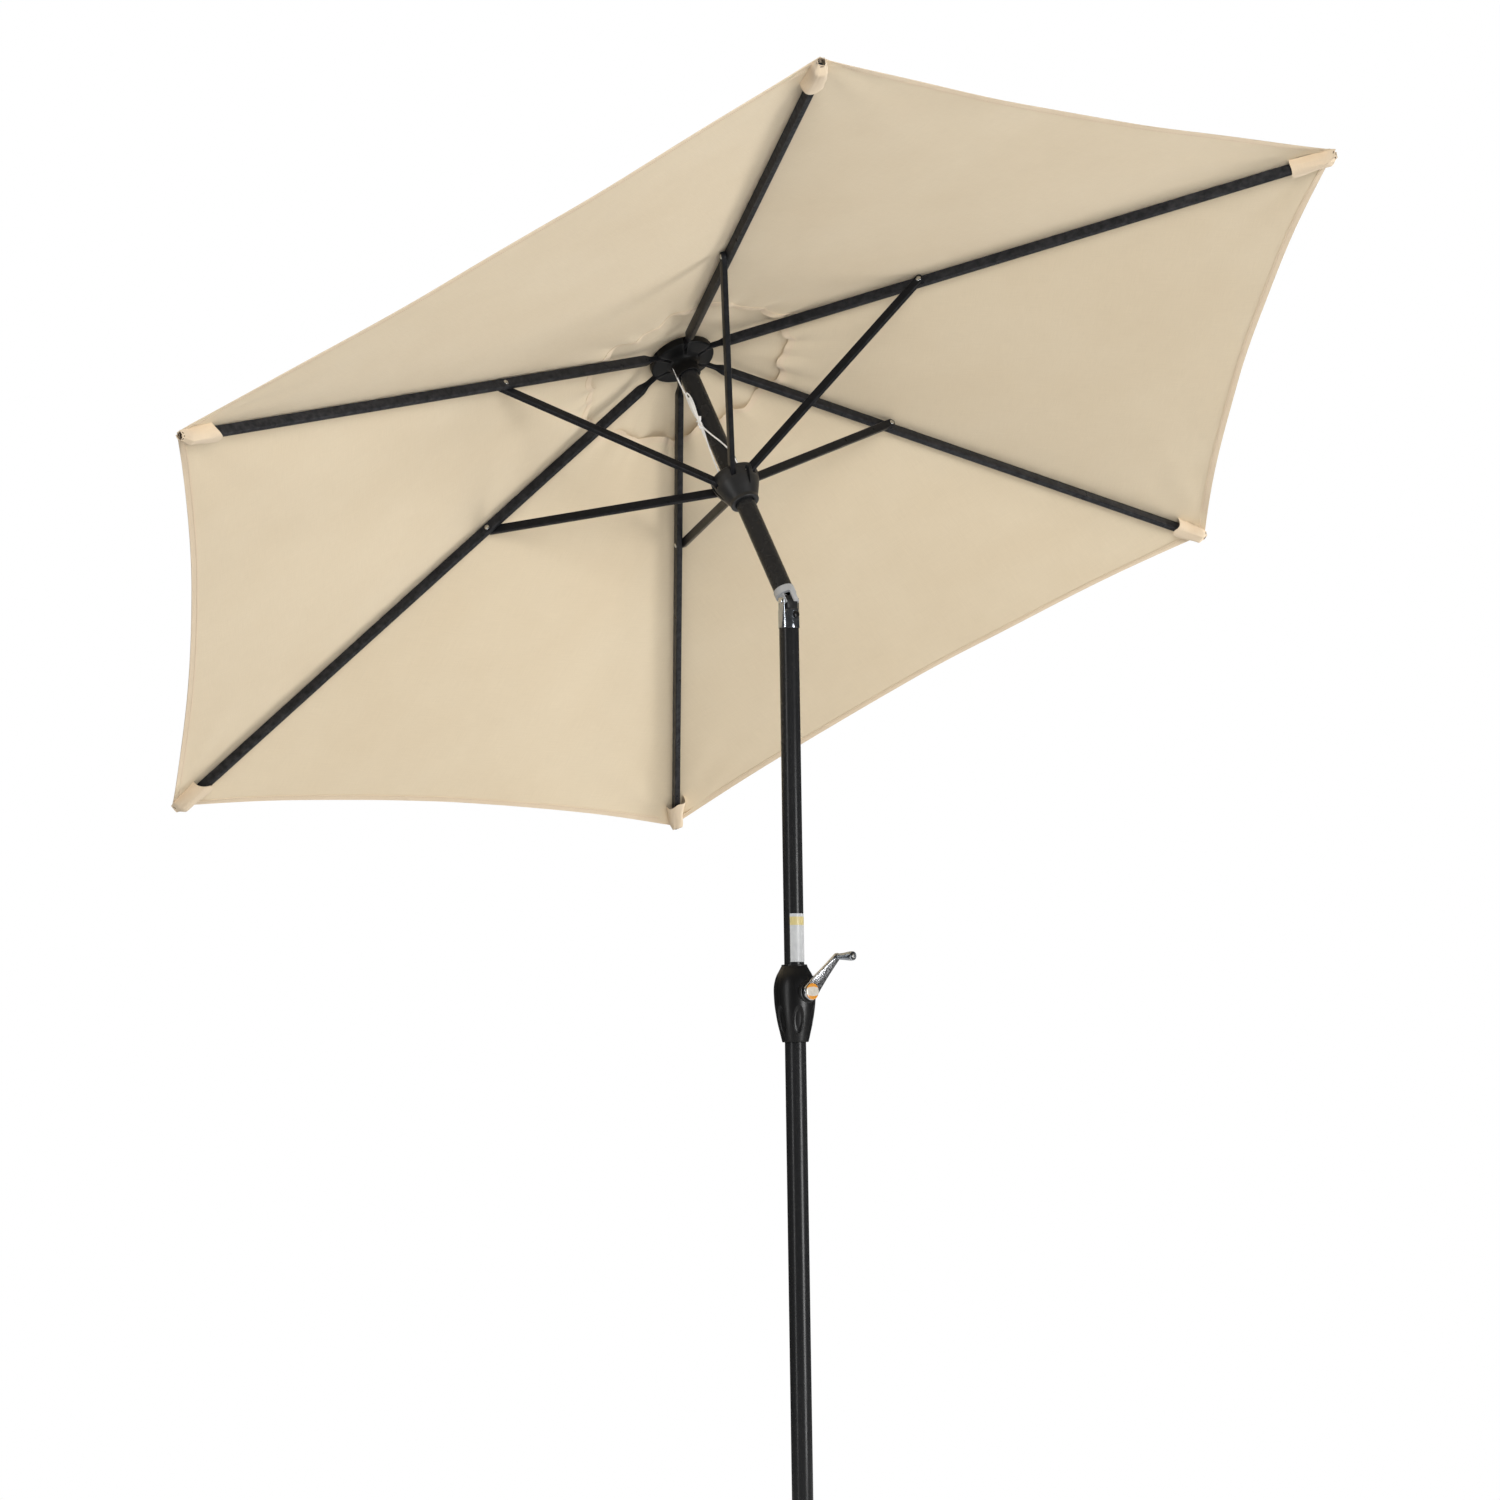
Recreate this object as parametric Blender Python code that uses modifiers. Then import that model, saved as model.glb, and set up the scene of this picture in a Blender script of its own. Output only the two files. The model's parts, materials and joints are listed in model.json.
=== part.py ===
"""Tilting crank-lift patio umbrella on a round base, open and tilted.

Metres, +Z up. The origin is the centre of the base's underside. The lower pole stands on the Z axis and
the canopy tilts towards -X about a horizontal pin that runs along Y.
"""

from math import atan2, cos, hypot, pi, radians, sin, tan

import bmesh
import bpy
from mathutils import Matrix, Vector

# Driving dimensions
GAP = 0.0003                # between pieces that touch
WALL = 0.0012               # of the pole tubes
TILT_HEIGHT = 2.0           # tilt pin above the floor
TILT = radians(31.0)        # of the upper pole from upright
HUB_RISE = 0.590            # rib pivots above the tilt pin, along the upper pole
RUNNER_RISE = 0.288         # strut pivots above the tilt pin, along the upper pole
POLE_R = 0.019
LOWER_POLE_R = 0.02025
CRANK_HEIGHT = 1.253
RIBS = 6
FIRST_RIB = radians(30.0)   # direction of rib 1 from the tilt direction's opposite side
RIB_PIVOT_R = 0.039
STRUT_PIVOT_R = 0.033
CANOPY_R = 1.312            # pole axis to canopy tip
RIB_DROOP = radians(14.5)   # below square to the pole
STRUT_PIN_R = 0.494         # pole axis to the rib's strut pin
RIB_WIDTH, RIB_HEIGHT = 0.012, 0.020
STRUT_WIDTH, STRUT_HEIGHT = 0.010, 0.017
STRUT_OFFSET = 0.0115       # strut's mid plane beside the rib's mid plane
CLOTH = 0.0024              # canopy solid's thickness
CLOTH_RISE = 0.0135         # canopy's mid surface above the ribs' centre lines
HEM_SAG = 0.037             # of each canopy edge, inwards at its middle
VENT_R = 0.222
CAP_R = 0.280
BASE_R = 0.250
CORD_R = 0.0015

ROUND = 24                  # sides of a round piece

# Derived sizes
RIB_LENGTH = (CANOPY_R - RIB_PIVOT_R) / cos(RIB_DROOP) - 0.022
STRUT_PIN_ALONG = (STRUT_PIN_R - RIB_PIVOT_R) / cos(RIB_DROOP)
STRUT_PIN_RISE = HUB_RISE - (STRUT_PIN_R - RIB_PIVOT_R) * tan(RIB_DROOP)
STRUT_CLIMB = atan2(STRUT_PIN_RISE - RUNNER_RISE, STRUT_PIN_R - STRUT_PIVOT_R)
STRUT_LENGTH = hypot(STRUT_PIN_RISE - RUNNER_RISE, STRUT_PIN_R - STRUT_PIVOT_R)
CORD_SIDE = FIRST_RIB - radians(150.0)   # where the lift cord leaves the hub, between two ribs
KNOT_SIDE = CORD_SIDE + radians(26.0)    # where it is tied to its bridle, and how high over the runner
KNOT_RISE = 0.130
PULLEY_AT, PULLEY_DROP, PULLEY_CORD_R = 0.014, 0.004, 0.010

for old in list(bpy.data.objects):
    bpy.data.objects.remove(old)

PARTS = bpy.data.collections.new("patio_umbrella")
CUTTERS = bpy.data.collections.new("cutters")
for group in (PARTS, CUTTERS):
    bpy.context.scene.collection.children.link(group)


def material(name, colour, roughness, metallic=0.0):
    made = bpy.data.materials.new(name)
    made.use_nodes = True
    shader = made.node_tree.nodes["Principled BSDF"]
    shader.inputs["Base Color"].default_value = (*colour, 1.0)
    shader.inputs["Roughness"].default_value = roughness
    shader.inputs["Metallic"].default_value = metallic
    return made


POWDER_COAT = material("powder_coat", (0.030, 0.031, 0.033), 0.42, 0.2)
BLACK_STEEL = material("black_steel", (0.016, 0.016, 0.017), 0.38, 0.2)
BLACK_PLASTIC = material("black_plastic", (0.020, 0.020, 0.021), 0.45)
CHROME = material("chrome", (0.62, 0.62, 0.63), 0.12, 1.0)
GREY_STEEL = material("grey_steel", (0.30, 0.31, 0.32), 0.35, 0.9)
ZINC = material("zinc", (0.60, 0.60, 0.58), 0.30, 1.0)
BADGE = material("badge", (0.80, 0.62, 0.38), 0.35)
IRON = material("iron", (0.022, 0.022, 0.023), 0.55, 0.1)
CANVAS = material("canvas", (0.76, 0.65, 0.48), 0.85)
CORD = material("cord", (0.82, 0.81, 0.78), 0.80)


def place(name, data, finish=None, parent=None, at=(0, 0, 0), turn=(0, 0, 0)):
    """An object in the parts collection, or a cutter where it has no finish."""
    made = bpy.data.objects.new(name, data)
    made.parent, made.location, made.rotation_euler = parent, at, turn
    if finish:
        PARTS.objects.link(made)
        made.data.materials.append(finish)
    elif data is None:
        PARTS.objects.link(made)
    else:
        CUTTERS.objects.link(made)
        made.hide_render, made.display_type = True, "WIRE"
    return made


def mesh_of(name, shape, angle=40.0):
    """A bmesh as a mesh, outward facing and smooth across all but its sharp edges."""
    bmesh.ops.recalc_face_normals(shape, faces=shape.faces)
    made = bpy.data.meshes.new(name)
    shape.to_mesh(made)
    shape.free()
    made.shade_smooth()
    made.set_sharp_from_angle(angle=radians(angle))
    return made


def turned(name, profile, finish=None, steps=ROUND, **where):
    """A profile of (radius, z), down its outer side and back up any inner side, turned about local Z."""
    made = bpy.data.meshes.new(name)
    hollow = min(r for r, _ in profile) > 0
    count = len(profile)
    edges = [(i, (i + 1) % count) for i in range(count if hollow else count - 1)]
    made.from_pydata([(r, 0, z) for r, z in profile], edges, [])
    obj = place(name, made, finish, **where)
    screw = obj.modifiers.new("screw", "SCREW")
    screw.steps = screw.render_steps = steps
    screw.use_merge_vertices, screw.merge_threshold = True, 0.00001
    screw.use_smooth_shade = True
    return obj


def tube(name, outer, inner, low, high, finish, **where):
    return turned(name, [(outer, high), (outer, low), (inner, low), (inner, high)], finish, **where)


def rod(name, radius, low, high, finish=None, steps=ROUND, **where):
    shape = bmesh.new()
    middle = Matrix.Translation((0, 0, (low + high) / 2))
    bmesh.ops.create_cone(shape, cap_ends=True, segments=steps, radius1=radius, radius2=radius,
                          depth=high - low, matrix=middle)
    return place(name, mesh_of(name, shape), finish, **where)


def box(name, low, high, finish=None, **where):
    shape = bmesh.new()
    low, high = Vector(low), Vector(high)
    fit = Matrix.Translation((low + high) / 2) @ Matrix.Diagonal((*(high - low), 1))
    bmesh.ops.create_cube(shape, size=1.0, matrix=fit)
    return place(name, mesh_of(name, shape), finish, **where)


def boolean(obj, other, operation="DIFFERENCE"):
    step = obj.modifiers.new(other.name, "BOOLEAN")
    step.operation, step.object, step.solver = operation, other, "EXACT"


def hex_groove(name, apothem, half_width, low, high, **where):
    """A cutter: the six-sided channel that a pivot ring lies in, its flats square to the ribs."""
    shape = bmesh.new()
    loops = []
    for r, z in ((apothem - half_width, low), (apothem + half_width, low),
                 (apothem + half_width, high), (apothem - half_width, high)):
        corner = r / cos(pi / RIBS)
        turn = [FIRST_RIB + (k + 0.5) * 2 * pi / RIBS for k in range(RIBS)]
        loops.append([shape.verts.new((corner * cos(a), corner * sin(a), z)) for a in turn])
    for loop, after in zip(loops, loops[1:] + loops[:1]):
        for k in range(RIBS):
            shape.faces.new((loop[k], loop[k - 1], after[k - 1], after[k]))
    return place(name, mesh_of(name, shape), **where)


def hex_ring(name, apothem, wire, finish, **where):
    """A pivot ring: wire bent to a hexagon with round corners, its flats square to the ribs."""
    curve = bpy.data.curves.new(name, "CURVE")
    curve.dimensions, curve.bevel_depth, curve.bevel_resolution = "3D", wire, 1
    bends = (-0.05, 0.0, 0.05)
    points = []
    for k in range(RIBS):
        middle = FIRST_RIB + (k + 0.5) * 2 * pi / RIBS
        for bend in bends:
            reach = apothem / cos(pi / RIBS - abs(bend)) - (0.0004 if bend == 0.0 else 0.0)
            points.append((reach * cos(middle + bend), reach * sin(middle + bend), 0, 1))
    spline = curve.splines.new("POLY")
    spline.points.add(len(points) - 1)
    for point, co in zip(spline.points, points):
        point.co = co
    spline.use_cyclic_u = True
    return place(name, curve, finish, **where)


def wire(name, points, radius, finish, **where):
    """A round wire or cord through its points, with filled ends."""
    curve = bpy.data.curves.new(name, "CURVE")
    curve.dimensions, curve.bevel_depth, curve.bevel_resolution = "3D", radius, 2
    curve.use_fill_caps = True
    spline = curve.splines.new("POLY")
    spline.points.add(len(points) - 1)
    for point, co in zip(spline.points, points):
        point.co = (*co, 1)
    return place(name, curve, finish, **where)


def loft(name, sections, finish, **where):
    """A bar along local X through sections of (x, half width in Y, half height in Z, and any rise in Z)."""
    shape = bmesh.new()
    corners = ((-1, -1), (1, -1), (1, 1), (-1, 1))
    rings = [[shape.verts.new((x, sy * w, sz * h + sum(rise))) for sy, sz in corners]
             for x, w, h, *rise in sections]
    shape.faces.new(rings[0])
    shape.faces.new(rings[-1])
    for ring, after in zip(rings, rings[1:]):
        for k in range(4):
            shape.faces.new((ring[k - 1], ring[k], after[k], after[k - 1]))
    return place(name, mesh_of(name, shape, 25.0), finish, **where)


def round_end(x, radius, width, sign):
    """Sections that round a bar's end off about a pivot at x, from the pivot outwards."""
    return [(x + sign * radius * sin(radians(a)), width, radius * cos(radians(a))) for a in (0, 30, 60, 82)]


def polar(radius, angle, z=0.0):
    return radius * cos(angle), radius * sin(angle), z


# ---------------------------------------------------------------- base
def base():
    turned("base_plate", [(0.0, 0.012), (0.0249, 0.012), (0.0249, 0.040), (0.038, 0.040), (0.046, 0.026),
                          (0.110, 0.018), (0.232, 0.013), (BASE_R, 0.008), (BASE_R, 0.0), (0.0, 0.0)],
           IRON, 40)
    tube("base_tube", 0.0246, 0.0225, 0.012 + GAP, 0.270, POWDER_COAT)
    turned("base_sleeve", [(0.0262, 0.2755), (0.0262, 0.270 + GAP), (0.0222, 0.270 + GAP),
                           (0.0222, 0.200), (0.0206, 0.200), (0.0206, 0.2755)], BLACK_PLASTIC)
    knob_height = 0.235
    across = dict(at=(0, 0, knob_height), turn=(0, pi / 2, 0))
    for name, hole in (("base_tube", 0.0046), ("base_sleeve", 0.0052)):
        boolean(bpy.data.objects[name], rod("cut_knob_" + name, hole, 0.0, 0.04, steps=16, **across))
    nut = rod("clamp_nut", 0.010, 0.0238, 0.038, GREY_STEEL, 6, **across)
    boolean(nut, rod("cut_nut_bore", 0.0046, 0.0, 0.06, steps=16, **across))
    boolean(nut, rod("cut_nut_seat", 0.0246 + GAP, 0.2, 0.27))
    turned("clamp_knob", [(0, 0.070), (0.016, 0.070), (0.020, 0.066), (0.020, 0.056), (0.012, 0.052),
                          (0.009, 0.0395), (0.0042, 0.0395), (0.0042, LOWER_POLE_R + 2 * GAP),
                          (0, LOWER_POLE_R + 2 * GAP)], BLACK_PLASTIC, 24, **across)


# ---------------------------------------------------------------- poles and crank
def poles():
    tube("lower_pole", LOWER_POLE_R, LOWER_POLE_R - 0.0009, 0.012 + 2 * GAP, CRANK_HEIGHT - 0.078,
         POWDER_COAT)
    middle = tube("middle_pole", POLE_R, POLE_R - WALL, CRANK_HEIGHT - 0.148, TILT_HEIGHT - 0.040,
                  POWDER_COAT)
    boolean(middle, rod("cut_shaft_pole", 0.0046, -0.03, 0.03, steps=16, at=(0, 0, CRANK_HEIGHT),
                        turn=(0, pi / 2, 0)))


def crank_housing():
    """Two half shells that meet on the plane X = 0."""
    top = CRANK_HEIGHT + 0.051
    outer = [(0.0238, 0), (0.028, 0.008), (0.0345, 0.020), (0.0385, 0.033), (0.040, 0.046), (0.0396, 0.062),
             (0.0382, 0.080), (0.034, 0.107), (0.0295, 0.127), (0.0256, 0.1435), (0.0245, 0.146)]
    inner = [(0.0206, 0.146), (0.0206, 0.141), (0.026, 0.125), (0.031, 0.105), (0.035, 0.079),
             (0.0365, 0.060), (0.0368, 0.046), (0.035, 0.034), (0.031, 0.022), (0.0194, 0.009), (0.0194, 0)]
    profile = [(r, top - z) for r, z in outer + inner]
    for name, low, high in (("crank_housing_front", -0.05, GAP / 2), ("crank_housing_rear", -GAP / 2, 0.05)):
        half = turned(name, profile, BLACK_PLASTIC)
        boolean(half, box("cut_" + name, (low, -0.05, top - 0.2), (high, 0.05, top + 0.05)))
    boolean(bpy.data.objects["crank_housing_front"],
            rod("cut_shaft_housing", 0.0046, 0.0, 0.05, steps=16, at=(0, 0, CRANK_HEIGHT),
                turn=(0, pi / 2, 0)))


def crank():
    """Shaft, spool and arm turn about X; the arm leans out to a grip that spins on its pin."""
    axis = place("crank_axis", None, at=(0, 0, CRANK_HEIGHT), turn=(0, pi / 2, 0))
    rod("crank_shaft", 0.004, -0.0205, 0.0492, ZINC, 16, parent=axis)
    turned("crank_spool", [(0.014, 0.009), (0.014, 0.0075), (0.0109, 0.0065), (0.0109, -0.0065),
                           (0.014, -0.0075), (0.014, -0.009), (0.0043, -0.009), (0.0043, 0.009)],
           BLACK_PLASTIC, 24, parent=axis)
    reach, climb = 0.0597, 0.0661          # grip axis from the crank axis, along Y and up
    lean, thick = 0.010, 0.009
    length, heading = hypot(reach, climb), atan2(reach, climb)
    big, small = 0.0170, 0.0070
    side = pi / 2 - (big - small) / length
    low = 0.0405 + thick / 2
    sections = []
    for middle, radius, first, last in ((0.0, big, radians(168), side), (length, small, side, radians(12))):
        for k in range(7):
            a = first + (last - first) * k / 6
            x = middle + radius * cos(a)
            sections.append((x, radius * sin(a), thick / 2, low + lean * max(0.0, x - big) / (length - big)))
    neck = big + (small - big) * big / length
    sections.insert(7, (big, neck, thick / 2, low))
    arm_turn = (0, 0, pi - heading)        # local X of the arm points from the boss to the grip
    arm = loft("crank_arm", sections, CHROME, parent=axis, turn=arm_turn)
    grip_at = (-climb, reach, 0)
    boolean(arm, rod("cut_arm_bore", 0.0043, 0.0, 0.07, steps=16, parent=axis))
    boolean(arm, rod("cut_pin_bore", 0.0028, 0.0, 0.08, steps=16, parent=axis, at=grip_at))
    turned("crank_badge", [(0, 0.0515), (0.0145, 0.0515), (0.0155, 0.0508), (0.0155, 0.0498), (0, 0.0498)],
           BADGE, parent=axis)
    spin = place("crank_grip_axis", None, parent=axis, at=grip_at)
    turned("crank_grip_pin", [(0, 0.1035), (0.003, 0.1035), (0.0042, 0.1026), (0.0042, 0.1018),
                              (0.0025, 0.1018), (0.0025, 0.052), (0, 0.052)], ZINC, 16, parent=spin)
    turned("crank_grip", [(0.0075, 0.1014), (0.0088, 0.0995), (0.0088, 0.092), (0.0068, 0.076),
                          (0.0060, 0.0605), (0.0029, 0.0605), (0.0029, 0.1014)], CHROME, 24, parent=spin)


# ---------------------------------------------------------------- tilt joint
def tilt_joint(upper):
    lower = place("tilt_lower", None, at=(0, 0, TILT_HEIGHT))
    along_x, along_y = (0, pi / 2, 0), (-pi / 2, 0, 0)
    ear, fork = 0.009, -0.018
    sleeve = tube("tilt_lower_sleeve", 0.0205, POLE_R + GAP, -0.052, 0.006, CHROME, parent=lower)
    for sign in (-1, 1):
        low, high = sorted((sign * ear, sign * 0.03))
        boolean(sleeve, box(f"cut_fork_{sign}", (low, -0.03, fork), (high, 0.03, 0.03), parent=lower))
    boolean(sleeve, rod("cut_sleeve_pin", 0.0038, -0.03, 0.03, steps=16, parent=lower, turn=along_y))
    button_at = (0, 0, -0.027)
    at_button = dict(parent=lower, at=button_at, turn=along_x)
    boolean(sleeve, rod("cut_sleeve_button", 0.0069, 0.0, 0.03, steps=20, **at_button))

    core = rod("tilt_core", POLE_R, -0.0395, -0.0145, BLACK_PLASTIC, parent=lower)
    boolean(core, rod("cut_core_button", 0.0066, -0.0015, 0.03, steps=20, **at_button))
    boolean(core, rod("cut_core_cord", 0.0030, -0.05, 0.0, steps=12, parent=lower, at=(-0.0073, 0.0004, 0)))
    turned("tilt_button", [(0, 0.0245), (0.0050, 0.0245), (0.0062, 0.0232), (0.0062, 0.0085), (0, 0.0085)],
           BLACK_PLASTIC, 20, **at_button)
    turns, per_turn, start, length = 3.5, 8, -0.0006, 0.0082
    steps = int(turns * per_turn)
    coil = [polar(0.0042, 2 * pi * k / per_turn, start + length * k / steps) for k in range(steps + 1)]
    wire("tilt_spring", coil, 0.0005, ZINC, **at_button)
    turned("tilt_pin", [(0, 0.0223), (0.0045, 0.0223), (0.0055, 0.0216), (0.0055, 0.0208),
                        (0.0035, 0.0208), (0.0035, -0.0208), (0.0055, -0.0208), (0.0055, -0.0216),
                        (0.0045, -0.0223), (0, -0.0223)], ZINC, 20, parent=lower, turn=along_y)

    floor = 0.0125
    bracket = turned("tilt_upper_bracket",
                     [(0.0206, 0.027), (0.0206, floor), (0.012, floor), (0.012, floor + 0.0045),
                      (POLE_R + GAP, floor + 0.0045), (POLE_R + GAP, 0.027)], GREY_STEEL, parent=upper)
    for sign in (-1, 1):
        low, high = sorted((sign * 0.0132, sign * 0.0158))
        plate = box(f"join_ear_{sign}", (-ear, low, -0.008), (ear, high, floor + 0.002), parent=upper)
        boolean(bracket, plate, "UNION")
    tongue = box("join_tongue", (0.0172, -0.006, -0.013), (0.0202, 0.006, floor + 0.002), parent=upper)
    boolean(bracket, tongue, "UNION")
    boolean(bracket, rod("cut_bracket_pin", 0.0038, -0.03, 0.03, steps=16, parent=upper, turn=along_y))


# ---------------------------------------------------------------- hub and runner
def hub(upper):
    top = dict(parent=upper, at=(0, 0, HUB_RISE))
    body = turned("top_hub", [(0, 0.008), (0.0635, 0.008), (0.065, 0.006), (0.065, -0.007), (0.0625, -0.009),
                              (0.034, -0.011), (0.025, -0.018), (0.025, -0.042), (POLE_R + 0.0004, -0.042),
                              (POLE_R + 0.0004, -0.0152), (0, -0.0152)], BLACK_PLASTIC, 30, **top)
    boolean(body, hex_groove("cut_hub_groove", RIB_PIVOT_R, 0.0019, -0.0019, 0.02, **top))
    for k in range(RIBS):
        slot = box(f"cut_hub_slot_{k + 1}", (0.0320, -0.0034, -0.030), (0.080, 0.0034, 0.020), **top)
        slot.rotation_euler[2] = FIRST_RIB - k * 2 * pi / RIBS
        boolean(body, slot)
    well = box("cut_pulley_well", (0.0025, -0.0032, -0.050), (0.0275, 0.0032, 0.020), **top)
    well.rotation_euler[2] = CORD_SIDE
    boolean(body, well)
    x, y, _ = polar(PULLEY_AT, CORD_SIDE)
    pulley = dict(parent=upper, at=(x, y, HUB_RISE - PULLEY_DROP), turn=(-pi / 2, 0, CORD_SIDE))
    boolean(body, rod("cut_pulley_axle", 0.0019, -0.0095, 0.0095, steps=12, **pulley))
    rod("pulley_axle", 0.0015, -0.009, 0.009, ZINC, 12, **pulley)
    turned("cord_pulley", [(0.0100, 0.0027), (0.0100, 0.0020), (0.0080, 0.0014), (0.0080, -0.0014),
                           (0.0100, -0.0020), (0.0100, -0.0027), (0.0019, -0.0027), (0.0019, 0.0027)],
           BLACK_PLASTIC, 20, **pulley)
    hex_ring("hub_ring", RIB_PIVOT_R, 0.0015, ZINC, **top)
    turned("hub_cap", [(0.030, 0.0145), (0.062, 0.0125), (0.064, 0.008 + GAP), (0.0044, 0.008 + GAP),
                       (0.0044, 0.0145)], BLACK_PLASTIC, 30, **top)
    tube("upper_pole", POLE_R, POLE_R - WALL, 0.0125 + 0.0045 + GAP, HUB_RISE - 0.0155,
         POWDER_COAT, parent=upper)
    turned("finial", [(0, 0.066), (0.010, 0.063), (0.017, 0.053), (0.0175, 0.043), (0.012, 0.033),
                      (0.012, 0.028), (0.024, 0.0245), (0.025, 0.0190), (0.0041, 0.0190),
                      (0.0041, 0.009), (0, 0.009)], BLACK_PLASTIC, 24, **top)


def runner(upper):
    here = dict(parent=upper, at=(0, 0, RUNNER_RISE))
    bore = POLE_R + 0.0005
    body = turned("runner", [(0.0455, 0.012), (0.0473, 0.0105), (0.0473, 0.001), (0.044, -0.0135),
                             (0.0375, -0.029), (0.0298, -0.044), (0.0288, -0.046), (0.0288, -0.054),
                             (bore, -0.054), (bore, 0.012)], BLACK_PLASTIC, 30, **here)
    half = STRUT_WIDTH / 2 + 0.0004
    inner = STRUT_PIVOT_R - STRUT_HEIGHT / 2 - 0.0006
    for k in range(RIBS):
        slot = box(f"cut_runner_slot_{k + 1}", (inner, -STRUT_OFFSET - half, -0.0105),
                   (0.065, -STRUT_OFFSET + half, 0.030), **here)
        slot.rotation_euler[2] = FIRST_RIB - k * 2 * pi / RIBS
        boolean(body, slot)
    boolean(body, hex_groove("cut_runner_groove", STRUT_PIVOT_R, 0.0019, -0.0019, 0.02, **here))
    hex_ring("runner_ring", STRUT_PIVOT_R, 0.0015, ZINC, **here)


# ---------------------------------------------------------------- ribs, struts and canopy
def rib(upper, number, angle):
    """Rib, rivet and canopy panel turn together about the rib's pivot at the hub."""
    x, y, _ = polar(RIB_PIVOT_R, angle)
    axis = place(f"rib_axis_{number}", None, parent=upper, at=(x, y, HUB_RISE), turn=(0, RIB_DROOP, angle))
    wide, high = RIB_WIDTH / 2, RIB_HEIGHT / 2
    tongue = round_end(0.0, 0.006, 0.003, -1)[::-1]
    sections = tongue + [(0.042, 0.003, 0.006), (0.066, wide, high), (RIB_LENGTH, wide, high)]
    bar = loft(f"rib_{number}", sections, BLACK_STEEL, parent=axis)
    skin = 0.0008
    boolean(bar, box(f"cut_rib_bore_{number}", (0.078, -wide + skin, -high + skin),
                     (RIB_LENGTH + 0.01, wide - skin, high - skin), parent=axis))
    across = dict(parent=axis, turn=(-pi / 2, 0, 0))
    boolean(bar, rod(f"cut_rib_pivot_{number}", 0.0023, -0.02, 0.02, steps=12, **across))
    at_pin = dict(across, at=(STRUT_PIN_ALONG, 0, 0))
    boolean(bar, rod(f"cut_rib_rivet_{number}", 0.0033, -0.02, 0.02, steps=12, **at_pin))
    turned(f"rivet_{number}", [(0, wide + 0.0019), (0.0042, wide + 0.0019), (0.0052, wide + 0.0010),
                               (0.0052, wide + GAP), (0.0030, wide + GAP), (0.0030, -wide), (0, -wide)],
           ZINC, 16, **at_pin)


def strut(upper, number, angle):
    x, y, _ = polar(STRUT_PIVOT_R, angle)
    x += STRUT_OFFSET * sin(angle)
    y -= STRUT_OFFSET * cos(angle)
    axis = place(f"strut_axis_{number}", None, parent=upper, at=(x, y, RUNNER_RISE),
                 turn=(0, -STRUT_CLIMB, angle))
    wide, high = STRUT_WIDTH / 2, STRUT_HEIGHT / 2
    sections = round_end(0.0, high, wide, -1)[::-1] + round_end(STRUT_LENGTH, high, wide, 1)
    bar = loft(f"strut_{number}", sections, BLACK_STEEL, parent=axis)
    skin = 0.0008
    boolean(bar, box(f"cut_strut_bore_{number}", (-0.02, -wide + skin, -high + 2 * skin),
                     (STRUT_LENGTH - 0.010, wide - skin, high - 2 * skin), parent=axis))
    boolean(bar, rod(f"cut_strut_pivot_{number}", 0.0023, -0.02, 0.02, steps=12, parent=axis,
                     turn=(-pi / 2, 0, 0)))


def cloth_height(apothem):
    """Height above the hub's pivots of a flat panel between two ribs, by distance out along its middle."""
    return CLOTH_RISE / cos(RIB_DROOP) - (apothem / cos(pi / RIBS) - RIB_PIVOT_R) * tan(RIB_DROOP)


def canopy_panel(upper, number, angle):
    """The cloth from the middle of one panel, over a rib, to the middle of the next, open at the vent."""
    columns, rows = 5, 1
    shape = bmesh.new()
    grid = []
    for c in range(-columns, columns + 1):
        side, share = (1 if c >= 0 else -1), 1 - abs(c) / columns     # share is 1 at the rib, 0 mid panel
        middle = angle + side * pi / RIBS
        line = []
        for r in range(rows + 1):
            t = r / rows
            inner_w, outer_w = VENT_R / 2 * share, CANOPY_R / 2 * share
            hem = CANOPY_R * cos(pi / RIBS) - HEM_SAG * (1 - share ** 2)
            out = VENT_R * cos(pi / RIBS) * (1 - t) + hem * t
            across = -side * max(inner_w * (1 - t) + outer_w * t, GAP / 2)
            x = out * cos(middle) - across * sin(middle)
            y = out * sin(middle) + across * cos(middle)
            line.append(shape.verts.new((x, y, cloth_height(out))))
        grid.append(line)
    for line, after in zip(grid, grid[1:]):
        for r in range(rows):
            shape.faces.new((line[r], line[r + 1], after[r + 1], after[r]))
    name = f"canopy_panel_{number}"
    panel = place(name, mesh_of(name, shape), CANVAS, upper, (0, 0, HUB_RISE))
    thick = panel.modifiers.new("thickness", "SOLIDIFY")
    thick.thickness, thick.offset, thick.use_even_offset = CLOTH, 0.0, True


def vent_cap(upper):
    """A shallow six-sided cone over the vent, clamped under the finial."""
    columns = 24
    shape = bmesh.new()
    rings = []
    for radius, z in ((0.0075, 0.0168), (0.062, 0.0152), (0.150, -0.0080), (CAP_R, -0.036)):
        ring = []
        for k in range(columns):
            angle = FIRST_RIB + 2 * pi * k / columns
            off_middle = (2 * pi * k / columns) % (2 * pi / RIBS) - pi / RIBS
            flat = radius * cos(pi / RIBS) / cos(off_middle) if radius > 0.1 else radius
            ring.append(shape.verts.new(polar(flat, angle, z)))
        rings.append(ring)
    for ring, after in zip(rings, rings[1:]):
        for k in range(columns):
            shape.faces.new((ring[k - 1], ring[k], after[k], after[k - 1]))
    cap = place("vent_cap", mesh_of("vent_cap", shape), CANVAS, upper, (0, 0, HUB_RISE))
    thick = cap.modifiers.new("thickness", "SOLIDIFY")
    thick.thickness, thick.offset, thick.use_even_offset = 0.0020, 0.0, True


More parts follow.
